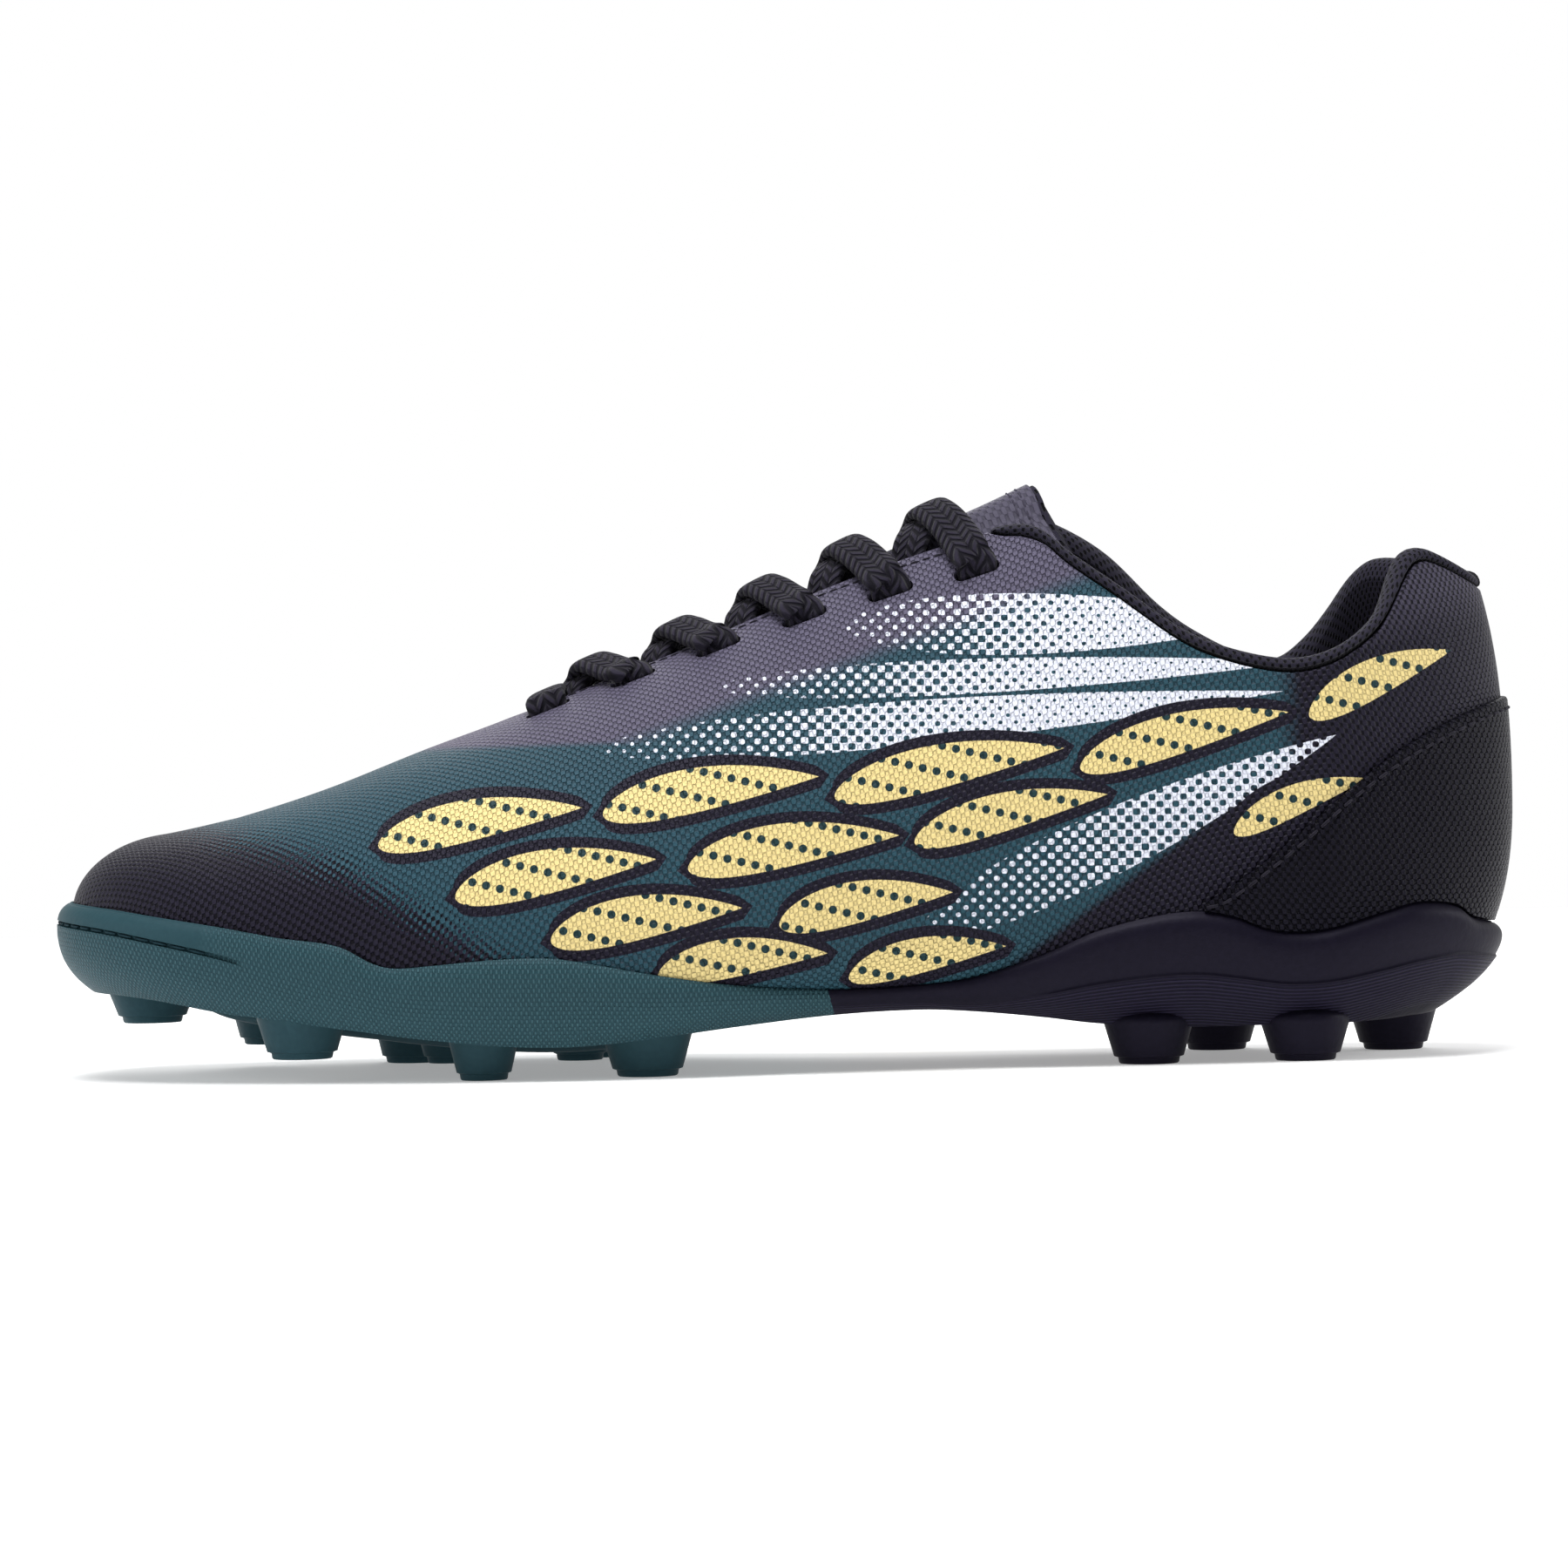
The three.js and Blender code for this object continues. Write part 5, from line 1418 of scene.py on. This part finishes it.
def make_stud(at, across, width, tip_share):
    """One stud, turned from its tip up into the sole."""
    footbed, under = sole_heights(at)
    tip_z = tip_share * heel_height
    turned_steps = (
        (stud_tip, tip_z + 0.25),
        (stud_tip * 1.03, tip_z + stud_rise),
        (1.0, tip_z + stud_rise + 0.25),
        (1.28, under + 0.6),
        (1.29, under + 1.3),
        (1.23, under + 2.0),
        (1.1, under + 2.6),
        (0.88, footbed - 0.6),
        (0.5, footbed - 0.25),
    )
    middle = ((at * upper_length + shift[0]) * mm, (across * half + shift[1]) * mm, tip_z * mm)
    radius = width / 2 * (stud_tip - 0.04)
    bpy.ops.object.select_all(action="DESELECT")
    tip_face = {"radius": radius * mm, "fill_type": "NGON", "location": middle}
    bpy.ops.mesh.primitive_circle_add(vertices=40, **tip_face)
    stud = bpy.context.object
    bpy.ops.object.transform_apply(location=True, rotation=True, scale=True)
    bpy.ops.object.mode_set(mode="EDIT")
    bpy.ops.mesh.select_all(action="SELECT")
    z = tip_z
    for share, next_z in turned_steps:
        bpy.ops.mesh.extrude_region_move(TRANSFORM_OT_translate={"value": (0, 0, (next_z - z) * mm)})
        grow = share * width / 2 / radius
        centre = (middle[0], middle[1], next_z * mm)
        bpy.ops.transform.resize(value=(grow, grow, 1), center_override=centre)
        radius = share * width / 2
        z = next_z
    bpy.ops.mesh.select_all(action="SELECT")
    bpy.ops.mesh.normals_make_consistent(inside=False)
    bpy.ops.object.mode_set(mode="OBJECT")
    return stud


forefoot_rib = table(
    "at wide deep",
    (
        (0.085, 0.12, 0.1),
        (0.11, 0.26, 0.5),
        (0.15, 0.36, 0.65),
        (0.23, 0.33, 0.68),
        (0.31, 0.3, 0.68),
        (0.38, 0.26, 0.6),
        (0.43, 0.2, 0.4),
        (0.47, 0.1, 0.1),
    ),
)
rib_at = np.linspace(forefoot_rib["at"][0], forefoot_rib["at"][-1], 60)
_, rib_under = sole_heights(rib_at)
rib_wide = along(forefoot_rib, "wide", rib_at) * half
rib_low = rib_under - along(forefoot_rib, "deep", rib_at) * sole_thickness
rib_high = rib_under + sole_thickness / 2
rib_side = ((1, 1.0), (1, 0.25), (0.93, 0.06), (0.82, 0))
rib_section = [(-across, up) for across, up in rib_side] + list(rib_side[::-1])
rib_curves = []
for across, up in rib_section:
    rib_z = rib_low + (rib_high - rib_low) * up
    rib_curves.append(np.stack([rib_at * upper_length, rib_wide * across, rib_z], -1))
rib = bar("forefoot_rib", rib_curves)
moulded_studs = join([make_stud(*stud) for stud in studs], "studs")
boolean(cup, rib, "UNION")
boolean(cup, moulded_studs, "UNION")

# The two colours of the outsole meet on a sloping joint under the middle of the foot.
joint_x = 0.537 * upper_length + 0.46
joint_lean = 0.25
joint_place = ((joint_x + shift[0]) * mm, 0, 0)
joint_normal = (1, 0, joint_lean)


def half_of(piece, name, forefoot):
    """The part of the sole before or behind the joint, closed where it is cut."""
    part = bpy.data.objects.new(name, piece.data.copy())
    scene.collection.objects.link(part)
    select_only(part)
    bpy.ops.object.mode_set(mode="EDIT")
    bpy.ops.mesh.select_all(action="SELECT")
    kept_side = {"clear_outer": forefoot, "clear_inner": not forefoot}
    bpy.ops.mesh.bisect(plane_co=joint_place, plane_no=joint_normal, use_fill=True, **kept_side)
    bpy.ops.object.mode_set(mode="OBJECT")
    bpy.ops.object.shade_smooth_by_angle(angle=sharp_angle)
    return part


tread_pitch = 0.0026
dimple_pitch = 0.001
dimple_rows = 0.00174
smooth_toe = 0.052
stria_pitch = 0.00085


def rubber_relief(tree, pattern, walls):
    """The height of a sole's surface: walls on its side, a stippled tread underneath."""
    stipple = ramp(tree, lattice(tree, pattern, tread_pitch, tread_pitch), 0.2, 0.8)
    underneath = ramp(tree, axes(tree, pattern)[1], -0.06, -0.05, 1.0, 0.0)
    raised = calc(tree, "MAXIMUM", walls, times(tree, underneath, stipple))
    return plus(tree, raised, times(tree, fine_fuzz(tree), 0.25))


def dimples(tree):
    """Fine dimples all over the side wall, but for the smooth toe."""
    pattern = pattern_of(tree)
    around, up, _ = axes(tree, pattern)
    from_toe = calc(tree, "MINIMUM", around, minus(tree, way_total * mm, around))
    past_toe = ramp(tree, from_toe, smooth_toe, smooth_toe + 0.008)
    under_line = ramp(tree, up, -0.0014, -0.0004, 1.0, 0.0)
    dimpled = calc(tree, "MAXIMUM", past_toe, under_line)
    on_wall = ramp(tree, up, -0.02, -0.019)
    dimple = ramp(tree, lattice(tree, pattern, dimple_pitch, dimple_rows), -0.2, 0.7)
    return rubber_relief(tree, pattern, times(tree, times(tree, dimple, dimpled), on_wall))


def striations(tree):
    """Fine level ribs on the raised lower band of the heel."""
    pattern = pattern_of(tree)
    up = axes(tree, pattern)[1]
    rib = ramp(tree, wave(tree, up, stria_pitch), -0.6, 0.8)
    under_line = ramp(tree, up, -0.0012, -0.0006, 1.0, 0.0)
    low_band = times(tree, under_line, ramp(tree, up, -0.014, -0.013))
    return rubber_relief(tree, pattern, times(tree, rib, low_band))


for node, finish, is_forefoot, low, high, relief in (
    ("outsole_forefoot", "rubber_teal", True, (36, 63, 70), (61, 94, 102), dimples),
    ("outsole_heel", "rubber_black", False, (15, 13, 24), (38, 35, 53), striations),
):
    part = half_of(cup, node + "_moulding", is_forefoot)
    part.data.materials.append(two_tone(finish, low, high, relief, 0.0003, 0.5, 0.1))
    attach(part, "root")
    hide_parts(node)
bpy.data.objects.remove(cup)

# A thread lies in the groove round the toe.
groove_index = np.concatenate([np.flatnonzero(rays.side > 0), np.flatnonzero(rays.side < 0)])
groove_index = groove_index[rays.at[groove_index] < groove_end - groove_fade]
groove_rays = rays.picked(groove_index)
groove_out = sole_outside(rays.line)[groove_index] - groove_depth * 0.6
groove_path = groove_rays.place(groove_out, groove_rays.line)
teal_thread = two_tone("teal_thread", (16, 34, 40), (40, 66, 74), fine_fuzz, 0.0002, 0.7)
stitched("toe_stitching", groove_path, groove_rays.outward(), teal_thread, 4.2, 3.6)


# The laces: flat braided cord, 8.2 mm wide. A bar lies across the lowest eyelets. From each row
# the two ends come up from under the eyestays, cross and go down the next pair of eyelets.
lace_width = 8.2
lace_thickness = 2.4
lace_lift = fit_gap + 0.1 + lace_thickness / 2


def through(values, count):
    """Points on a smooth curve through rows of values."""
    values = np.asarray(values, float)
    rows = table("at", [(k,) for k in range(len(values))])
    where = np.linspace(0, len(values) - 1, count)
    columns = [along({**rows, "v": values[:, k]}, "v", where) for k in range(values.shape[1])]
    return np.stack(columns, -1)


def swollen(value, power):
    """A sine or cosine bent outwards, which makes a circle a rounded bar."""
    return math.copysign(abs(value) ** power, value)


section_angles = np.linspace(0, 2 * math.pi, 24, endpoint=False)
lace_section = [(swollen(math.cos(a), 0.62), swollen(math.sin(a), 0.8)) for a in section_angles]
braid_column = 0.00205
braid_pitch = 0.0021


def braid(tree):
    """Ribs that slant to and fro in four columns across the cord."""
    way, across, _ = axes(tree, pattern_of(tree))
    column = calc(tree, "DIVIDE", across, braid_column)
    slant = calc(tree, "PINGPONG", column, 1.0)
    phase = plus(tree, calc(tree, "DIVIDE", way, braid_pitch), slant)
    rib = ramp(tree, wave(tree, phase, 1.0), -0.9, 0.6)
    from_middle = calc(tree, "ABSOLUTE", minus(tree, calc(tree, "FRACT", column), 0.5))
    rounded = ramp(tree, from_middle, 0.3, 0.5, 1.0, 0.35)
    return plus(tree, times(tree, rib, rounded), times(tree, fine_fuzz(tree), 0.25))


lace_cord = two_tone("braided_cord", (3, 3, 6), (38, 35, 47), braid, 0.0006, 0.75, sheen=0.06)


def lace_strand(name, stops, count):
    """A lace through stops: x, y in the plan, height over the upper, width and thickness shares."""
    x, y, high, wide, thick = through(stops, count).T
    surface, normal = surface_at(x, y)
    centre = surface + normal * high[:, None]
    forward = np.gradient(centre, axis=0)
    forward /= np.linalg.norm(forward, axis=1, keepdims=True)
    plan = np.gradient(np.stack([x, y, 0 * x], -1), axis=0)
    flat = np.linalg.norm(plan, axis=1, keepdims=True) > 0.02
    broad = np.cross(normal, plan)
    lengthways = np.array([1.0, 0, 0.35])
    same_way = np.sign(np.sum(broad * lengthways, axis=1, keepdims=True))
    broad = np.where(flat, broad, same_way * lengthways)
    broad /= np.linalg.norm(broad, axis=1, keepdims=True)
    up = np.cross(forward, broad)
    up /= np.linalg.norm(up, axis=1, keepdims=True)
    broad = np.cross(up, forward)
    way = way_along(centre)
    curves = []
    patterns = []
    for u, v in lace_section:
        aside = broad * (u * lace_width / 2 * wide)[:, None]
        curves.append(centre + aside + up * (v * lace_thickness / 2 * thick)[:, None])
        patterns.append(np.stack([way, 0 * way + u * lace_width / 2], -1))
    return bar(name, curves, patterns)


def lace_bar():
    """The bar across the lowest eyelets, the same on either side of its middle."""
    x, near_y = eyelet_place(-1, 0)
    _, far_y = eyelet_place(1, 0)
    middle_y = (near_y + far_y) / 2
    rising = [
        (x, near_y, -2.2, 0.9, 0.9),
        (x, near_y + 0.2, -0.4, 0.95, 1.1),
        (x, near_y + 1.4, 1.2, 1, 1.2),
        (x, near_y + 4, lace_lift, 1, 1.05),
    ]
    falling = [(x, 2 * middle_y - y, *rest) for _, y, *rest in rising[::-1]]
    return lace_strand("lace_bar", [*rising, (x, middle_y, lace_lift - 0.2, 1, 1), *falling], 70)


def lace_run(side, side_name, row):
    """A run from under one eyestay, at the row before, over to an eyelet on the side given.

    The lateral run passes over the medial one."""
    from_x, from_y = eyelet_place(-side, row - 1)
    to_x, to_y = eyelet_place(side, row)
    from_x += 0.4 * lace_width
    from_y += side * eyelet_inset
    hump = 2.5 if side < 0 else 0.0

    def on_way(share):
        return from_x + (to_x - from_x) * share, from_y + (to_y - from_y) * share

    stops = [
        (from_x - 1.2, from_y - side * 3.0, -2.7, 0.8, 0.45),
        (from_x - 0.4, from_y + side * 0.3, -1.5, 0.9, 0.7),
        (*on_way(0.12), 0.6, 0.97, 1.0),
        (*on_way(0.3), lace_lift + 0.2 * hump, 1, 1),
        (*on_way(0.44), lace_lift + hump, 1, 1),
        (*on_way(0.6), lace_lift + 0.6 * hump, 1, 1),
        (*on_way(0.78), lace_lift + 0.1, 1, 1.05),
        (*on_way(0.92), lace_lift + 0.25, 1, 1.15),
        (to_x, to_y - side * 1.0, 0.8, 1, 1.2),
        (to_x, to_y - side * 0.1, -0.7, 0.95, 1.05),
        (to_x, to_y, -2.3, 0.9, 0.9),
    ]
    return lace_strand(f"lace_{row}_{side_name}", stops, 96)


def lace_row(row):
    """The laces that end in one row of eyelets."""
    if row == 0:
        return [lace_bar()]
    return [lace_run(-1, "lateral", row), lace_run(1, "medial", row)]


for row in range(eyelet_rows):
    for strand in lace_row(row):
        strand.data.materials.append(lace_cord)
        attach(strand, "root")
        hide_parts(f"lace_row_{row + 1}")
